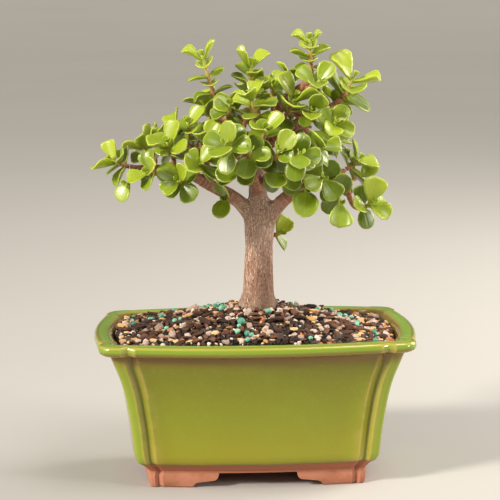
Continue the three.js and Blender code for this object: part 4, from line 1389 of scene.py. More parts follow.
@dataclass
class Layout:
    """The rule that lays out every leaf, so that each one finds room among the others."""

    reach: float = 1.0  # half the thickness that a blade is given
    clear: float = 0.75
    clear_own: float = 0.1
    clear_wood: float = 0.6
    root: float = 0.25
    width_share: float = 0.92
    pull: float = 0.38  # how far upper faces turn towards the light
    widest: float = 60.0
    bare: float = 1.8  # how much of a stem is bare above its highest pair
    bare_foot: float = 1.2  # and below its lowest one, with the share that isn't covered
    covered: float = 0.86  # the share of a stem that its pairs may cover
    stem: tuple[float, float] = (1.35, 0.95)
    twig: tuple[float, float] = (1.8, 1.5)
    gap: float = 0.3
    seed: int = 7
    light: np.ndarray = field(default_factory=lambda: unit(row(-0.2, -0.5, 0.84)))
    probes: tuple[tuple[float, float], ...] = (
        (0, 0.26),
        (0, 0.44), (-0.5, 0.46), (0.5, 0.46),
        (0, 0.62), (-0.45, 0.62), (0.45, 0.62), (-0.9, 0.64), (0.9, 0.64),
        (0, 0.8), (-0.42, 0.8), (0.42, 0.8), (-0.82, 0.8), (0.82, 0.8),
        (0, 0.97), (-0.4, 0.95), (0.4, 0.95),
    )
    foot_opening: float = 82.0  # how far a shoot's lowest leaves open from its stem, in degrees
    spreads: Point = (24.0, 16.0, 30.0)  # how much a leaf's bearing, opening and twist vary, in degrees
    tries: tuple[Point, ...] = (  # each try's extra opening and twist, in degrees, and its size
        (0, 0, 1), (12, 0, 1), (-12, 0, 1), (0, 25, 1), (0, -25, 1), (22, 18, 0.92), (-22, -18, 0.92),
        (0, 0, 0.78), (26, 0, 0.78), (-26, 0, 0.78), (14, 40, 0.78), (14, -40, 0.78), (34, 0, 0.66),
        (-10, 0, 0.62),
    )

    def trunk_line(self) -> Through:
        """Gives the trunk's middle line."""
        return Through([row(*stop) for stop, _ in TRUNK])

    def spot(self, shoot: Shoot, pair: int) -> float:
        """Gives a pair of leaves' place on its stem, as a share, with the pairs counted from the tip."""
        length = shoot.length()
        covered = self.covered - (self.bare + self.bare_foot) / length
        return 1 - self.bare / length - covered * shoot.down(pair)

    def twig_line(self, shoot: Shoot) -> Arc:
        """Gives the line of the twig that joins a shoot's foot to its limb.

        Args:
            shoot: The shoot.

        Returns:
            The twig's middle line.
        """
        bearer = self.trunk_line() if shoot.limb == "trunk" else LIMBS[shoot.limb].line()
        start = bearer.point(shoot.at)
        along = shoot.stem().tangent(0)
        end = row(*shoot.foot) - along * self.gap
        before = end - along * (0.4 * float(np.linalg.norm(end - start)))
        return Arc([start, start * 0.65 + before * 0.35, before, end])

    def obstacles(self) -> tuple[np.ndarray, np.ndarray, np.ndarray]:
        """Lists the wood that leaves keep clear of.

        Returns:
            Points, their radii, and the number of the shoot that each belongs to, or -1.
        """
        points: list[np.ndarray] = []
        radii: list[float] = []
        owners: list[int] = []

        def add(line: Line, steps: int, ends: tuple[float, float], owner: int) -> None:
            """Adds points along one line.

            Args:
                line: The line.
                steps: How many stretches it is sampled in.
                ends: Its radii at both ends.
                owner: The number of the shoot that it belongs to, or -1.
            """
            for k, point in enumerate(line.points(steps)):
                points.append(point)
                radii.append(mixed(ends[0], ends[1], k / steps))
                owners.append(owner)

        for limb in LIMBS.values():
            add(limb.line(), 24, (limb.thick, limb.thin), -1)
        for (start, radius), (end, _) in zip(TRUNK, TRUNK[1:]):
            for share in (0.0, 0.5):
                points.append(row(*start) * (1 - share) + row(*end) * share)
                radii.append(radius)
                owners.append(-1)
        for number, shoot in enumerate(SHOOTS):
            add(self.twig_line(shoot), 8, self.twig, -1)
            add(shoot.stem(), 8, self.stem, number)
        return np.array(points), np.array(radii), np.array(owners)

    def blade(
        self,
        at: np.ndarray,
        along: np.ndarray,
        reference: np.ndarray,
        angles: Point,
        size: float,
        down: float,
    ) -> Blade:
        """Places one blade.

        Args:
            at: The point on the stem's middle line.
            along: The stem's direction there.
            reference: The direction that the stem's frames are built on.
            angles: The bearing about the stem, the opening from it and the twist, in radians.
            size: The blade's length.
            down: How far down the shoot the pair is, from 0 to 1.

        Returns:
            The blade, with its face turned to the light.
        """
        bearing, opening, twist = angles
        first, second = across_frame(along, reference)
        out = first * math.cos(bearing) + second * math.sin(bearing)
        run = along * math.cos(opening) + out * math.sin(opening)
        face = along * math.sin(opening) - out * math.cos(opening)
        side = np.cross(run, face)
        most = math.radians(self.widest)
        to_light = math.atan2(-float(self.light @ side), float(self.light @ face))
        turn = twist + self.pull * clamped(to_light, -most, most)
        turned_side = side * math.cos(turn) + face * math.sin(turn)
        turned_face = face * math.cos(turn) - side * math.sin(turn)
        root = at + out * self.root
        return Blade(root, turned_side, run, turned_face, size, size * self.width_share, down)

    def blades(self) -> list[list[Blade]]:
        """Lays out the leaves of every shoot.

        Returns:
            The blades that found room, for each shoot.
        """
        draws = Draws(self.seed)
        wood, radii, owners = self.obstacles()
        taken = np.zeros((0, 3))
        taken_by = np.zeros(0, int)
        kept: list[list[Blade]] = []
        for owner, shoot in enumerate(SHOOTS):
            line, reference = shoot.stem(), shoot.reference()
            others = owners != owner
            mine: list[Blade] = []
            for pair in range(shoot.pairs):
                down, spot = shoot.down(pair), self.spot(shoot, pair)
                along = line.tangent(spot)
                for half in (0, 1):
                    around, opened, twisted = (spread * (draws.next() - 0.5) for spread in self.spreads)
                    bearing = math.radians(shoot.turn + pair * 90 + half * 180 + around)
                    opening = math.radians(mixed(shoot.open, self.foot_opening, math.sqrt(down)) + opened)
                    twist = math.radians(twisted)
                    size = shoot.leaf * (0.88 + 0.24 * draws.next()) * mixed(1, 0.9, down)
                    for more, turn, scale in self.tries:
                        angles = (bearing, opening + math.radians(more), twist + math.radians(turn))
                        blade = self.blade(line.point(spot), along, reference, angles, size * scale, down)
                        probes = np.array([blade.at(*probe) for probe in self.probes])
                        to_wood = np.linalg.norm(probes[:, None] - wood[None, others], axis=2)
                        if (to_wood < radii[others] + self.reach + self.clear_wood).any():
                            continue
                        if len(taken):
                            room = 2 * self.reach + np.where(taken_by == owner, self.clear_own, self.clear)
                            if (np.linalg.norm(probes[:, None] - taken[None], axis=2) < room).any():
                                continue
                        mine.append(blade)
                        taken = np.concatenate([taken, probes])
                        taken_by = np.concatenate([taken_by, np.full(len(probes), owner)])
                        break
            kept.append(mine)
        return kept


# --- the leafy shoots
class LeafShape(Enum):
    """The outlines that blades come in: the wedge's power, the widest row and the corners' angle."""

    FAN = (1.35, 0.78, 37.0)
    EGG = (1.1, 0.64, 47.0)
    ROUND = (0.72, 0.55, 52.0)

    def outline(self, along: float) -> tuple[float, float]:
        """Gives the margin's place for a row of the blade.

        Args:
            along: The row, from 0 at the root to 1 at the end.

        Returns:
            The half width and the place along the blade.
        """
        power, widest, corner = self.value
        if along <= widest:
            return 0.045 + 0.455 * math.sin(math.pi / 2 * along / widest) ** power, along
        angle = math.radians(corner) * (along - widest) / (1 - widest)
        return 0.5 * math.cos(angle), widest + (1 - widest) * math.sin(angle)


@dataclass(frozen=True)
class LeafForm:
    """One form of blade, a unit long and a unit wide, ready to be copied to its places."""

    shape: LeafShape
    cup: float  # how far the margins stand above the midrib
    fold: float  # how sharply the halves fold up along the midrib
    recurve: float  # how far the end bends down
    wave: float = 0.0  # how far the margin waves
    columns: tuple[float, ...] = (-1, -0.74, 0, 0.74, 1)
    rows: tuple[float, ...] = (0, 0.22, 0.46, 0.7, 0.9, 1)
    thickness: float = 0.13
    rim: float = 0.28  # the margin's thickness, as a share
    sunk: float = -0.75  # which way the thickness grows: -1 for down, 1 for up

    def point(self, across: float, along: float) -> Point:
        """Gives the place of one point of the blade's face.

        Args:
            across: Its column, from -1 to 1.
            along: Its row, from 0 at the root to 1 at the end.

        Returns:
            The point.
        """
        half, end = self.shape.outline(along)
        x = across * half
        y = along - (along - end) * across**2
        lift = self.cup * (2 * x) ** 2 + self.fold * abs(x) - self.recurve * y**2.4
        lift += self.wave * math.sin(7 * y + 2 * across) * across
        return x, y, lift

    def build(self, name: str) -> Object:
        """Models the blade from a grid, thickened towards its midrib.

        Args:
            name: The template's name.

        Returns:
            The template object.
        """
        last_column, last_row = len(self.columns) - 1, len(self.rows) - 1
        blade = primitive("grid", x_subdivisions=last_column, y_subdivisions=last_row, size=2)
        blade.name = name
        middle = blade.vertex_groups.new(name="middle")
        marks: dict[str, list[float]] = {"across": [], "along": [], "margin": []}
        for vertex in blade.data.vertices:
            column = round((vertex.co.x + 1) / 2 * last_column)
            line = round((vertex.co.y + 1) / 2 * last_row)
            across, along = self.columns[column], self.rows[line]
            vertex.co = self.point(across, along)
            inner = (1 - abs(across) ** 2) * (1 - max(0.0, along - 0.5) ** 2 * 3.2)
            middle.add([vertex.index], clamped(inner), "REPLACE")
            marks["across"].append(abs(across))
            marks["along"].append(along)
            marks["margin"].append(1.0 if column in (0, last_column) or line == last_row else 0.0)
        for mark, values in marks.items():
            set_numbers(blade.data, mark, np.array(values))
        apply_modifier(
            blade,
            "SOLIDIFY",
            thickness=self.thickness,
            offset=self.sunk,
            vertex_group="middle",
            thickness_vertex_group=self.rim,
        )
        activate(blade)
        bpy.ops.object.shade_smooth()
        blade.vertex_groups.clear()
        return blade


@dataclass
class Shoots:
    """Every leafy shoot: a ringed stem with its pairs of thick leaves."""

    layout: Layout
    sides: int = 8
    rings: int = 14
    stem: tuple[float, float] = (1.15, 0.72)
    swell: float = 0.3  # how far the stem thickens at a pair of leaves
    swell_reach: float = 0.7
    bud: float = 3.4  # the length of the two leaves that open at a stem's tip
    bud_at: float = 0.985
    bud_open: float = 24.0
    slim: float = 0.94  # a blade's width, as a share of its place's
    seed: int = 19
    limits: np.ndarray = field(default_factory=tree_box)  # leaves stay inside these corners
    forms: tuple[LeafForm, ...] = (
        LeafForm(LeafShape.ROUND, -0.04, 0.0, 0.12),
        LeafForm(LeafShape.ROUND, 0.04, 0.0, 0.02),
        LeafForm(LeafShape.ROUND, 0.14, 0.04, 0.05, -0.012),
        LeafForm(LeafShape.EGG, 0.0, 0.18, 0.16, -0.01),
        LeafForm(LeafShape.EGG, 0.18, 0.0, 0.03, 0.012),
        LeafForm(LeafShape.FAN, 0.1, 0.14, 0.12),
        LeafForm(LeafShape.FAN, 0.24, 0.08, -0.04, 0.015),
        LeafForm(LeafShape.FAN, 0.3, 0.0, 0.16, -0.014),
    )
    ageing: float = 0.6  # how much older a shoot's lowest leaves are than its highest
    unlike: float = 0.3  # how much leaves of the same age differ
    old_forms: int = 5  # how many of the forms old leaves take, from the first
    young_forms: int = 4  # how many young leaves take, from the last
    sprout_form: int = 4  # the form on the sprout that the trunk bears

    def stem_form(self) -> Object:
        """Models a straight stem by extruding a circle, ready to be bent to each shoot's line.

        Returns:
            The stem.
        """
        stem = primitive("circle", vertices=self.sides, radius=1, fill_type="NGON")
        stem.name = "stem_form"
        with edit_mode(stem):
            for _ in range(self.rings):
                bpy.ops.mesh.extrude_region_move(TRANSFORM_OT_translate={"value": (0, 0, 1)})
        outward(stem)
        bpy.ops.object.shade_smooth()
        return stem

    def bend_stem(self, form: Object, shoot: Shoot) -> Object:
        """Copies the stem form along a shoot's line.

        Args:
            form: The straight stem.
            shoot: The shoot.

        Returns:
            The bent stem, in millimetres.
        """
        stem = copy_of(form)
        line, reference, length = shoot.stem(), shoot.reference(), shoot.length()
        straight = points_of(stem.data)
        shares = np.clip(straight[:, 2] / self.rings, 0, 1)
        nodes = [self.layout.spot(shoot, pair) for pair in range(shoot.pairs)]
        bent = np.zeros_like(straight)
        for k, share in enumerate(shares.tolist()):
            first, second = across_frame(line.tangent(share), reference)
            ring = sum(math.exp(-(((share - node) * length / self.swell_reach) ** 2)) for node in nodes)
            radius = mixed(*self.stem, share) * (1 + self.swell * min(ring, 1.0))
            bent[k] = line.point(share) + radius * (first * straight[k, 0] + second * straight[k, 1])
        move_points(stem.data, bent)
        set_numbers(stem.data, "along", shares)
        return stem

    def tip_buds(self, shoot: Shoot) -> list[Blade]:
        """Places the two small leaves that open at a stem's tip.

        Args:
            shoot: The shoot.

        Returns:
            Their places.
        """
        line = shoot.stem()
        at, along = line.point(self.bud_at), line.tangent(1.0)
        return [
            self.layout.blade(
                at,
                along,
                shoot.reference(),
                (math.radians(shoot.turn + 90 + half * 180), math.radians(self.bud_open), 0.0),
                self.bud,
                0.0,
            )
            for half in (0, 1)
        ]

    def copy_blade(self, form: Object, blade: Blade, youth: float, tone: float) -> Object:
        """Copies a blade form to its place.

        Args:
            form: The blade's template.
            blade: Its place and size.
            youth: From 0 for the oldest leaves to 1 for the youngest.
            tone: The leaf's own draw from 0 to 1.

        Returns:
            The placed leaf, in millimetres.
        """
        leaf = copy_of(form)
        points = points_of(leaf.data)
        offset = (
            points[:, :1] * blade.side * blade.width * self.slim
            + points[:, 1:2] * blade.run * blade.length
            + points[:, 2:] * blade.face * blade.length
        )
        room = np.where(offset > 0, self.limits[1] - blade.root, blade.root - self.limits[0])
        fits = min(1.0, float((room / np.maximum(np.abs(offset), 0.001)).min()))
        move_points(leaf.data, blade.root + offset * fits)
        set_numbers(leaf.data, "youth", youth)
        set_numbers(leaf.data, "tone", tone)
        return leaf

    def build(self) -> None:
        """Models every shoot and dresses it."""
        forms = [form.build(f"leaf_form_{number}") for number, form in enumerate(self.forms)]
        stem_form = self.stem_form()
        skins = (Foliage().build(), YoungStem().build())
        for form in [*forms, stem_form]:
            for skin in skins:
                form.data.materials.append(skin)
        stem_form.data.polygons.foreach_set("material_index", [1] * len(stem_form.data.polygons))
        draws = Draws(self.seed)
        for number, (shoot, blades) in enumerate(zip(SHOOTS, self.layout.blades()), start=1):
            parts = [self.bend_stem(stem_form, shoot)]
            for blade in [*blades, *self.tip_buds(shoot)]:
                youth = shoot.vigour() * (1 - self.ageing * blade.down)
                youth = clamped(youth + self.unlike * (draws.next() - 0.5))
                some = forms[-self.young_forms:] if draws.next() < youth else forms[:self.old_forms]
                form = some[int(draws.next() * len(some)) % len(some)]
                if shoot.limb == "trunk":
                    form = forms[self.sprout_form]
                parts.append(self.copy_blade(form, blade, youth, draws.next()))
            activate(*parts)
            bpy.ops.object.join()
            piece = bpy.context.object
            piece.name = f"shoot_{number:02d}"
            indices = np.zeros(len(piece.data.polygons), np.int32)
            piece.data.polygons.foreach_get("material_index", indices)
            place(piece, "leaf", f"leafy_shoot_{number:02d}", *skins)
            piece.data.polygons.foreach_set("material_index", indices)
        for form in [*forms, stem_form]:
            bpy.data.objects.remove(form)


# --- the wood
@dataclass(frozen=True)
class Run:
    """One run of wood: its middle line, its radius along it, its steps, and how its bark ages."""

    line: Line
    radius: Callable[[float], float]
    steps: int
    age: float = 0.0  # from 0 on a twig to 1 on the trunk
    old_for: float | None = None  # how far along it the bark is still the trunk's, if it leaves the trunk

    def reference(self) -> np.ndarray:
        """Gives the direction that the run's frames are built on."""
        return reference_for(self.line.point(0), self.line.point(1))

    def age_at(self, travelled: float, fade: float) -> float:
        """Gives the bark's age at a distance along the run, which falls over a fade from the trunk's."""
        if self.old_for is None:
            return self.age
        return mixed(1.0, self.age, clamped((travelled - self.old_for) / fade))


@dataclass
class Wood:
    """The trunk, its branches and the twigs that bear the shoots, grown as one."""

    layout: Layout
    sides: int = 14
    voxel: float = 0.62
    trunk_steps: int = 40
    limb_steps: int = 36
    twig_steps: int = 12
    root_steps: int = 8
    limb_age: float = 0.25
    fade: float = 11.0  # over how many millimetres a branch's bark turns from the trunk's to its own
    skin: float = 0.98  # the trunk's radius inside its bark's furrows, as a share
    twig: tuple[float, float] = (1.75, 1.3)
    furrow: float = 0.28  # depth of the trunk's furrows
    fine_furrow: float = 0.6  # depth of the finer ones, as a share
    ring_depth: float = 0.224  # depth of the rings on young wood
    patterns: tuple[tuple[Point, Point], ...] = (  # how close furrows, finer ones and rings lie, and a shift
        ((0.3, 0.3, 0.05), (0, 0, 0)),
        ((0.95, 0.95, 0.34), (40, 0, 0)),
        ((0.1, 0.1, 0.8), (0, 9, 0)),
    )
    collar: tuple[float, float] = (0.22, 0.14)  # how much a branch swells at the trunk, and over what share
    smooth: tuple[float, int] = (0.5, 4)  # how much each round of smoothing does, and the rounds
    trunk_born: tuple[tuple[str, float], ...] = (("leader", 20.0), ("left", 9.0), ("right", 9.0))
    fork: Point = (3.0, 4.0, 138.0)
    fork_reach: Point = (17.0, 13.0, 15.0)  # how far about the fork its wood flows together
    fork_rounds: int = 36
    root_foot: Point = (2.2, 4, 0)
    root_radii: tuple[float, float] = (3.0, 2.6)
    roots_at: tuple[tuple[float, float], ...] = (  # each surface root's bearing and reach
        (20, 6.5), (95, 5), (160, 7), (215, 5.5), (262, 6), (318, 5.5),
    )

    def tube(self, run: Run) -> Object:
        """Models a closed round tube along a run.

        Args:
            run: The run.

        Returns:
            The tube.
        """
        angles = np.arange(self.sides) / self.sides * 2 * math.pi
        rings = []
        for k in range(run.steps + 1):
            share = k / run.steps
            first, second = across_frame(run.line.tangent(share), run.reference())
            spokes = np.cos(angles)[:, None] * first + np.sin(angles)[:, None] * second
            rings.append(run.line.point(share) + run.radius(share) * spokes)
        thing = mesh_object("limb", *loft(rings))
        outward(thing)
        return thing

    def trunk_radius(self, share: float) -> float:
        """Gives the trunk's radius at a share of its height, by its own stops."""
        place_on = share * (len(TRUNK) - 1)
        return self.skin * float(np.interp(place_on, range(len(TRUNK)), [radius for _, radius in TRUNK]))

    def runs(self) -> list[Run]:
        """Lists the trunk, the branches and the twigs.

        Returns:
            The runs, the trunk's first.
        """
        found = [Run(self.layout.trunk_line(), self.trunk_radius, self.trunk_steps, 1.0)]
        born = dict(self.trunk_born)
        for name, limb in LIMBS.items():
            swell = self.collar[0] if name in born else 0.0

            def radius(share: float, limb: Limb = limb, swell: float = swell) -> float:
                """Gives the branch's radius, with the collar at its foot."""
                return mixed(limb.thick, limb.thin, share) * (1 + swell * math.exp(-share / self.collar[1]))

            found.append(Run(limb.line(), radius, self.limb_steps, self.limb_age, born.get(name)))
        for shoot in SHOOTS:
            line = self.layout.twig_line(shoot)
            found.append(Run(line, lambda share: mixed(*self.twig, share), self.twig_steps))
        return found

    def roots(self) -> list[Object]:
        """Models the flare of surface roots where the trunk enters the soil.

        Returns:
            The roots.
        """
        made = []
        foot = row(*self.root_foot)
        for bearing, reach in self.roots_at:
            angle = math.radians(bearing)
            out = row(math.cos(angle), math.sin(angle), 0)
            bends = ((4.5, 93), (7.5, 87), (6 + reach * 0.5, 82))
            line = Arc([foot + out * away + row(0, 0, high) for away, high in bends])
            made.append(self.tube(Run(line, lambda share: mixed(*self.root_radii, share), self.root_steps)))
        return made

    def build(self) -> None:
        """Fuses all the runs, furrows the bark and dresses the wood."""
        runs = self.runs()
        parts = [self.tube(run) for run in runs] + self.roots()
        activate(*parts)
        bpy.ops.object.join()
        wood = bpy.context.object
        wood.name = "trunk_bark"
        apply_modifier(wood, "REMESH", mode="VOXEL", voxel_size=self.voxel, use_smooth_shade=True)
        factor, rounds = self.smooth
        apply_modifier(wood, "SMOOTH", factor=factor, iterations=rounds)
        flow = wood.vertex_groups.new(name="fork")
        away = np.linalg.norm((points_of(wood.data) - row(*self.fork)) / row(*self.fork_reach), axis=1)
        for index in np.nonzero(away < 1)[0]:
            flow.add([int(index)], float(1 - away[index] ** 2), "REPLACE")
        apply_modifier(wood, "SMOOTH", factor=factor, iterations=self.fork_rounds, vertex_group="fork")
        wood.vertex_groups.clear()
        self.grow_bark(wood.data, runs)
        place(wood, "bark", "trunk_and_branches", Bark().build())

    def stations(self, runs: Sequence[Run]) -> list[np.ndarray]:
        """Samples every run closely.

        Args:
            runs: The runs.

        Returns:
            Tables with one row for each sample: its middle, the run's own three directions there, and its
            distance along the run, its radius and its bark's age.
        """
        samples: list[tuple] = []
        for run in runs:
            travelled, before = 0.0, run.line.point(0)
            for k in range(2 * run.steps + 1):
                share = k / (2 * run.steps)
                here, along = run.line.point(share), run.line.tangent(share)
                travelled += float(np.linalg.norm(here - before))
                before = here
                facts = row(travelled, run.radius(share), run.age_at(travelled, self.fade))
                samples.append((here, along, *across_frame(along, run.reference()), facts))
        return [np.array(table) for table in zip(*samples)]

    def grow_bark(self, mesh: Mesh, runs: Sequence[Run]) -> None:
        """Furrows the bark along each run, and stores the run's grain for the finish.

        Args:
            mesh: The fused wood.
            runs: The runs that it grew from.
        """
        centres, alongs, firsts, seconds, facts = self.stations(runs)
        points = points_of(mesh)
        nearest = np.concatenate([
            (np.linalg.norm(block[:, None] - centres[None], axis=2) - facts[None, :, 1]).argmin(1)
            for block in np.split(points, range(4000, len(points), 4000))
        ])
        offset = points - centres[nearest]
        across, over, along = ((offset * table[nearest]).sum(1) for table in (firsts, seconds, alongs))
        grain = np.stack([across, over, facts[nearest, 0] + along], 1)
        age = facts[nearest, 2]
        normals = np.zeros(len(points) * 3, np.float32)
        mesh.vertex_normals.foreach_get("vector", normals)
        depth = np.zeros(len(points))
        for k, spot in enumerate(grain):
            furrow, finer, ring = (
                noise.noise(Vector(spot * scale + shift)) for scale, shift in self.patterns
            )
            old = self.furrow * age[k] * (furrow + self.fine_furrow * finer)
            depth[k] = old + self.ring_depth * (1 - age[k]) * ring
        move_points(mesh, points + normals.reshape(-1, 3) * depth[:, None])
        layer = mesh.attributes.new("grain", "FLOAT_VECTOR", "POINT")
        layer.data.foreach_set("vector", grain.astype(np.float32).ravel())
        set_numbers(mesh, "age", age)


# --- the soil
class GrainShape(Enum):
    """The forms of grains, each with its roughness and the angle past which its edges stay sharp."""

    CHIP = (0.55, 24.0)
    PRILL = (0.08, 60.0)


@dataclass(frozen=True)
class Grain:
    """One kind of grain: how many, how large, how flat, its finish and its form."""

    name: str
    count: int
    size: tuple[float, float]
    flat: Point
    finish: Grit
    shape: GrainShape = GrainShape.CHIP
    lift: float = 0.32  # how high its middle lies, as a share of its size

    def spread(self) -> float:
        """Gives how wide a grain of size 1 lies."""
        return (self.flat[0] + self.flat[1]) / 2

    def tilt(self) -> float:
        """Gives how far its grains may lean, in radians: flat ones lie down."""
        return 0.5 if self.flat[2] < 0.5 else 3.0


@dataclass
class Soil:
    """A mound of grit, pumice, lava and bark with a few fertiliser grains on top."""

    edge: float = 72.3
    lean: float = 0.012  # how far it falls towards the right
    mound: float = 13.2
    reach: float = 46.0
    deep: float = 1.15  # how much faster the mound falls to the front and the back
    sunk: float = 0.8  # how far the bed lies under the mound's height
    trunk: tuple[float, float] = (2.2, 4.0)
    hole: float = 8.2  # radius of the bed's hole for the trunk
    hole_floor: float = 47.7
    bed_heights: tuple[float, ...] = (15.4, 20.0, 40.0, 58.0, 68.0, 71.7)
    bed_steps: int = 26
    collar: float = 9.6  # grains stay this far from the trunk's middle
    seed: int = 5
    tries: int = 30
    field_size: tuple[float, float] = (70.0, 44.0)
    apart: float = 0.38  # how close two grains may lie, as a share of their widths
    form_count: int = 7
    large: tuple[float, float] = (0.12, 1.35)  # the share of grains that are larger, and by how much
    clustered: float = 0.7  # the share of feed grains that lie in clusters
    cluster: float = 4.2  # a cluster's reach
    kinds: tuple[Grain, ...] = (
        Grain("soil_lava", 1300, (1.2, 3.0), (1, 0.85, 0.7), Grit("lava", (20, 16, 15), (86, 72, 64))),
        Grain(
            "soil_bark", 560, (2.0, 6.0), (1, 0.42, 0.3),
            Grit("bark_bits", (38, 25, 20), (116, 80, 62)),
        ),
        Grain(
            "soil_wood", 190, (2.0, 4.6), (1, 0.6, 0.4),
            Grit("wood_chips", (186, 138, 88), (236, 198, 146)),
        ),
        Grain(
            "soil_pumice", 290, (1.6, 4.0), (1, 0.84, 0.7),
            Grit("pumice", (158, 134, 120), (222, 200, 184)),
        ),
        Grain(
            "soil_white", 330, (1.0, 2.4), (1, 0.85, 0.75),
            Grit("white_grit", (200, 190, 172), (242, 236, 222)),
        ),
        Grain(
            "soil_clay", 130, (1.4, 3.0), (1, 0.85, 0.75),
            Grit("baked_clay", (150, 88, 58), (206, 138, 96)),
        ),
        Grain(
            "soil_feed", 38, (2.3, 3.1), (1, 1, 0.95),
            Grit("feed", (48, 126, 104), (140, 204, 172), 0.6), GrainShape.PRILL, 0.66,
        ),
    )
    feed_spots: tuple[tuple[float, float], ...] = (
        (-63, 13), (-51, 18), (-44, -10), (-22, 22), (-16, 4), (-7, -24), (-2, -36),
        (33, 12), (50, -5), (57, -18), (57, 14),
    )

    def height(self, x: np.ndarray, y: np.ndarray) -> np.ndarray:
        """Gives the mound's height above the floor, in millimetres."""
        away = np.hypot(x - self.trunk[0], (y - self.trunk[1]) * self.deep)
        return self.edge - self.lean * x + self.mound * np.exp(-((away / self.reach) ** 2))

    def wall(self, pot: Pot, z: float, room: float) -> np.ndarray:
        """Gives the pot's inner plan at a height, drawn in by some room.

        Args:
            pot: The pot.
            z: The height.
            room: How far inside the wall.

        Returns:
            The ring of points.
        """
        inner = np.array([astuple(level) for level in pot.outside[-pot.inner_levels:]], float)[::-1]
        x, y, lobe = (float(np.interp(z, inner[:, 0], inner[:, column])) for column in (1, 2, 3))
        return pot.plan(PotLevel(z, x - room, y - room, lobe, 0.0, 2.0))

    def bed(self, pot: Pot) -> Object:
        """Models the body of fine soil that the grains lie in, with its hole for the trunk.

        Args:
            pot: The pot that holds it.

        Returns:
            The bed.
        """
        rings = [self.wall(pot, z, 0.5) for z in self.bed_heights]
        rim, trunk = rings[-1][:, :2], np.array(self.trunk)
        spokes = rim - trunk
        inner = trunk + spokes / np.linalg.norm(spokes, axis=1)[:, None] * self.hole
        for k in range(1, self.bed_steps + 1):
            flat = rim + (inner - rim) * (k / self.bed_steps)
            rough = np.array([noise.noise(Vector((x * 0.45, y * 0.45, 3))) * 0.9 for x, y in flat])
            rings.append(np.column_stack([flat, self.height(flat[:, 0], flat[:, 1]) - self.sunk + rough]))
        floor_of_hole = rings[-1].copy()
        floor_of_hole[:, 2] = self.hole_floor
        bed = mesh_object("soil_bed", *loft([*rings, floor_of_hole]))
        outward(bed)
        shade_by_angle(bed, 40.0)
        set_numbers(bed.data, "tone", 0.3)
        return bed

    def grain_form(self, shape: GrainShape, number: int) -> tuple[np.ndarray, list[list[int]]]:
        """Models one grain form, a unit across.

        Args:
            shape: Whether it is a broken chip or a rolled prill.
            number: The form's number, which seeds its roughness.

        Returns:
            The form's points and faces.
        """
        if shape is GrainShape.CHIP:
            form = primitive("cube", size=0.86)
            with edit_mode(form):
                bpy.ops.mesh.bevel(offset=0.2, segments=1)
        else:
            form = primitive("uv_sphere", segments=8, ring_count=6, radius=0.5)
        rough = shape.value[0]
        points = points_of(form.data)
        for k, point in enumerate(points):
            push = noise.noise(Vector(point * 1.9) + Vector((number * 7.3, 0, 0)))
            lean = noise.noise_vector(Vector(point * 2.6) + Vector((0, number * 5.1, 0)))
            points[k] = point * (1 + rough * push) + np.array(lean) * 0.22 * rough
        faces = [list(polygon.vertices) for polygon in form.data.polygons]
        bpy.data.objects.remove(form)
        return points, faces

    def scatter(self, pot: Pot, source: np.random.Generator) -> list[tuple[Grain, np.ndarray, float]]:
        """Finds a place for every grain, the feed first and then the largest.

        Args:
            pot: The pot that holds them.
            source: The random source.

        Returns:
            Each grain's kind, place and size.
        """
        wall = self.wall(pot, self.edge + 1.5, 1.2)[:, :2]
        angles = np.arctan2(wall[:, 1], wall[:, 0])
        order = np.argsort(angles)
        reach = np.linalg.norm(wall, axis=1)[order]
        large, larger = self.large
        wanted = [
            (float(source.uniform(*kind.size)) * (1.0 if source.random() > large else larger), kind)
            for kind in self.kinds
            for _ in range(kind.count)
        ]
        wanted.sort(key=lambda pair: (pair[1].shape is not GrainShape.PRILL, -pair[0] * pair[1].spread()))
        placed: list[tuple[Grain, np.ndarray, float]] = []
        spots = np.zeros((0, 3))
        for size, kind in wanted:
            wide = size * kind.spread()
            for _ in range(self.tries):
                x, y = (source.uniform(-most, most) for most in self.field_size)
                if kind.shape is GrainShape.PRILL and source.random() < self.clustered:
                    spot = self.feed_spots[int(source.integers(len(self.feed_spots)))]
                    x, y = (middle + source.normal() * self.cluster for middle in spot)
                limit = float(np.interp(math.atan2(y, x), angles[order], reach, period=2 * math.pi))
                if math.hypot(x, y) > limit - wide * 0.45:
                    continue
                if math.hypot(x - self.trunk[0], y - self.trunk[1]) < self.collar + wide * 0.3:
                    continue
                near = spots[np.abs(spots[:, 0] - x) < 5]
                if (np.hypot(near[:, 0] - x, near[:, 1] - y) < (near[:, 2] + wide) * self.apart).any():
                    continue
                spots = np.concatenate([spots, [[x, y, wide]]])
                z = float(self.height(np.array(x), np.array(y))) - self.sunk + kind.lift * size
                placed.append((kind, row(x, y, z), size))
                break
        return placed

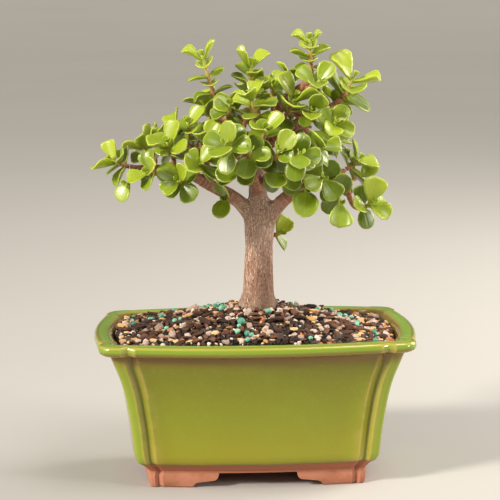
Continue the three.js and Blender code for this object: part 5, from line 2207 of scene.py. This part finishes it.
    def build(self, pot: Pot) -> None:
        """Models the bed and all the grains on it, and dresses them.

        Args:
            pot: The pot that holds them.
        """
        place(self.bed(pot), "bonsai_soil", "soil", Grit("fine_soil", (30, 22, 18), (92, 68, 52)).build())
        source = np.random.default_rng(self.seed)
        noise.seed_set(self.seed)  # the grain forms' noise_vector is seeded by the clock otherwise
        placed = self.scatter(pot, source)
        for kind in self.kinds:
            forms = [self.grain_form(kind.shape, number) for number in range(self.form_count)]
            points, faces, tones, start = [], [], [], 0
            for spot, size in [(spot, size) for other, spot, size in placed if other is kind]:
                shape, form_faces = forms[int(source.integers(len(forms)))]
                stretch = np.array(kind.flat) * source.uniform(0.82, 1.18, 3) * size
                turn = Matrix.Rotation(source.uniform(0, 6.28), 3, "Z")
                lean = source.uniform(-kind.tilt(), kind.tilt())
                turn = turn @ Matrix.Rotation(lean, 3, Vector(source.normal(size=3)).normalized())
                points.append((shape * stretch) @ np.array(turn).T + spot)
                faces += [[start + v for v in face] for face in form_faces]
                tones.append(np.full(len(shape), source.random()))
                start += len(shape)
            piece = mesh_object(kind.name, np.concatenate(points), faces)
            set_numbers(piece.data, "tone", np.concatenate(tones))
            shade_by_angle(piece, kind.shape.value[1])
            place(piece, "bonsai_soil", "soil", kind.finish.build())


# --- the studio
@dataclass(frozen=True)
class Lamp:
    """A square soft light that faces the tree: its place and side in metres, and its power in watts."""

    name: str
    spot: Point
    size: float
    power: float
    colour: Point = (255, 250, 244)
    aim: Point = (0.0, 0.0, 0.12)


@dataclass
class Stage:
    """The floor, the lights and the camera."""

    yaw: float = -2.405
    pitch: float = 9.185
    roll: float = -0.4
    distance: float = 813.2
    target: Point = (-1.95, 0.0, 115.0)
    lens: float = 115.2
    sensor: float = 36.0
    floor_size: float = 30.0
    floor_cells: int = 60
    floor_gap: float = 0.0002  # how far the floor lies below the pot's feet
    sweep: tuple[float, float] = (5.5, 0.0155)  # how far out the floor begins to rise, and how steeply
    key_from: Point = (-1.1, -0.68, 0.78)
    key_power: float = 3.6
    key_angle: float = 11.0
    key_colour: Point = (255, 247, 235)
    lamps: tuple[Lamp, ...] = (
        Lamp("fill", (1.05, 0.35, 0.6), 0.6, 15.0, (255, 248, 238)),
        Lamp("side", (-1.1, -0.5, 0.5), 0.6, 5.2),
        Lamp("top", (0.5, -0.4, 1.4), 0.6, 9.0),
        Lamp("right", (1.15, -0.6, 0.4), 0.22, 6.5),
    )
    air_power: float = 0.39
    air: Ramp = (  # the air's colour by how steeply a way rises
        (0.1, (120, 117, 112)), (0.6, (236, 234, 228)),
    )

    def put(self, name: str, data: bpy.types.ID, spot: Vector, facing: Vector, roll: float = 0.0) -> Object:
        """Puts a camera or a light at its place.

        Args:
            name: Its name.
            data: The camera or the light.
            spot: Its place, in metres.
            facing: The direction that it faces.
            roll: Its turn about that direction, in degrees.

        Returns:
            The object.
        """
        thing = link(name, data)
        turn = facing.to_track_quat("-Z", "Y").to_matrix().to_4x4()
        thing.matrix_world = Matrix.Translation(spot) @ turn @ Matrix.Rotation(math.radians(roll), 4, "Z")
        return thing

    def camera(self) -> None:
        """Sets the camera at its angle, looking a little down on the pot."""
        yaw, pitch = math.radians(self.yaw), math.radians(self.pitch)
        back = Vector((math.sin(yaw) * math.cos(pitch), -math.cos(yaw) * math.cos(pitch), math.sin(pitch)))
        data = bpy.data.cameras.new("camera")
        data.lens = self.lens
        data.sensor_width = self.sensor
        spot = Vector(self.target) * MM + frame_shift() + back * self.distance * MM
        bpy.context.scene.camera = self.put("camera", data, spot, -back, self.roll)

    def floor(self) -> None:
        """Lays the floor, which rises far out, so that it fills the view from low angles too."""
        cells = self.floor_cells
        floor = primitive("grid", x_subdivisions=cells, y_subdivisions=cells, size=self.floor_size)
        floor.name = "studio_floor"
        points = points_of(floor.data)
        away = np.maximum(np.hypot(points[:, 0], points[:, 1]) - self.sweep[0], 0.0)
        points[:, 2] = self.sweep[1] * away**2 - self.floor_gap
        move_points(floor.data, points)
        bpy.ops.object.shade_smooth()
        floor.data.materials.append(StudioFloor().build())

    def lights(self) -> None:
        """Hangs the large soft key light, high at the front left, and the lamps around the tree."""
        key = bpy.data.lights.new("key", "SUN")
        key.energy = self.key_power
        key.angle = math.radians(self.key_angle)
        key.color = rgb(*self.key_colour)[:3]
        self.put("key", key, Vector(), -Vector(self.key_from))
        for lamp in self.lamps:
            data = bpy.data.lights.new(lamp.name, "AREA")
            data.size = lamp.size
            data.energy = lamp.power
            data.color = rgb(*lamp.colour)[:3]
            self.put(lamp.name, data, Vector(lamp.spot), Vector(lamp.aim) - Vector(lamp.spot))

    def world(self) -> None:
        """Fills the air with soft light that is dim near the horizon."""
        world = bpy.data.worlds.new("studio_air")
        world.use_nodes = True
        tree = world.node_tree
        background = tree.nodes["Background"]
        background.inputs["Strength"].default_value = self.air_power
        way = tree.nodes.new("ShaderNodeTexCoord")
        parts = tree.nodes.new("ShaderNodeSeparateXYZ")
        rise = tree.nodes.new("ShaderNodeValToRGB")
        tree.links.new(way.outputs["Generated"], parts.inputs["Vector"])
        tree.links.new(parts.outputs["Z"], rise.inputs["Fac"])
        tree.links.new(rise.outputs["Color"], background.inputs["Color"])
        for element, (where, colour) in zip(rise.color_ramp.elements, self.air):
            element.color = rgb(*colour)
            element.position = where
        bpy.context.scene.world = world
        bpy.context.scene.view_settings.view_transform = "Standard"

    def build(self) -> None:
        """Sets up the whole stage."""
        self.camera()
        self.floor()
        self.lights()
        self.world()


def dress_screens() -> None:
    """Gives the drain screens their moulded plastic."""
    plastic = MouldedMesh().build()
    for name in ("drain_screen_left", "drain_screen_right"):
        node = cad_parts[name]
        node.data.materials.clear()
        node.data.materials.append(plastic)
        LOG.info("%s: dressed", name)


def main() -> None:
    """Builds the stage and every sub-assembly in order."""
    logging.basicConfig(level=logging.INFO, format="%(name)s: %(message)s")
    Stage().build()
    layout = Layout()
    pot = Pot()
    pot.build()
    Soil().build(pot)
    Wood(layout).build()
    Shoots(layout).build()
    dress_screens()


if __name__ == "__main__":
    main()
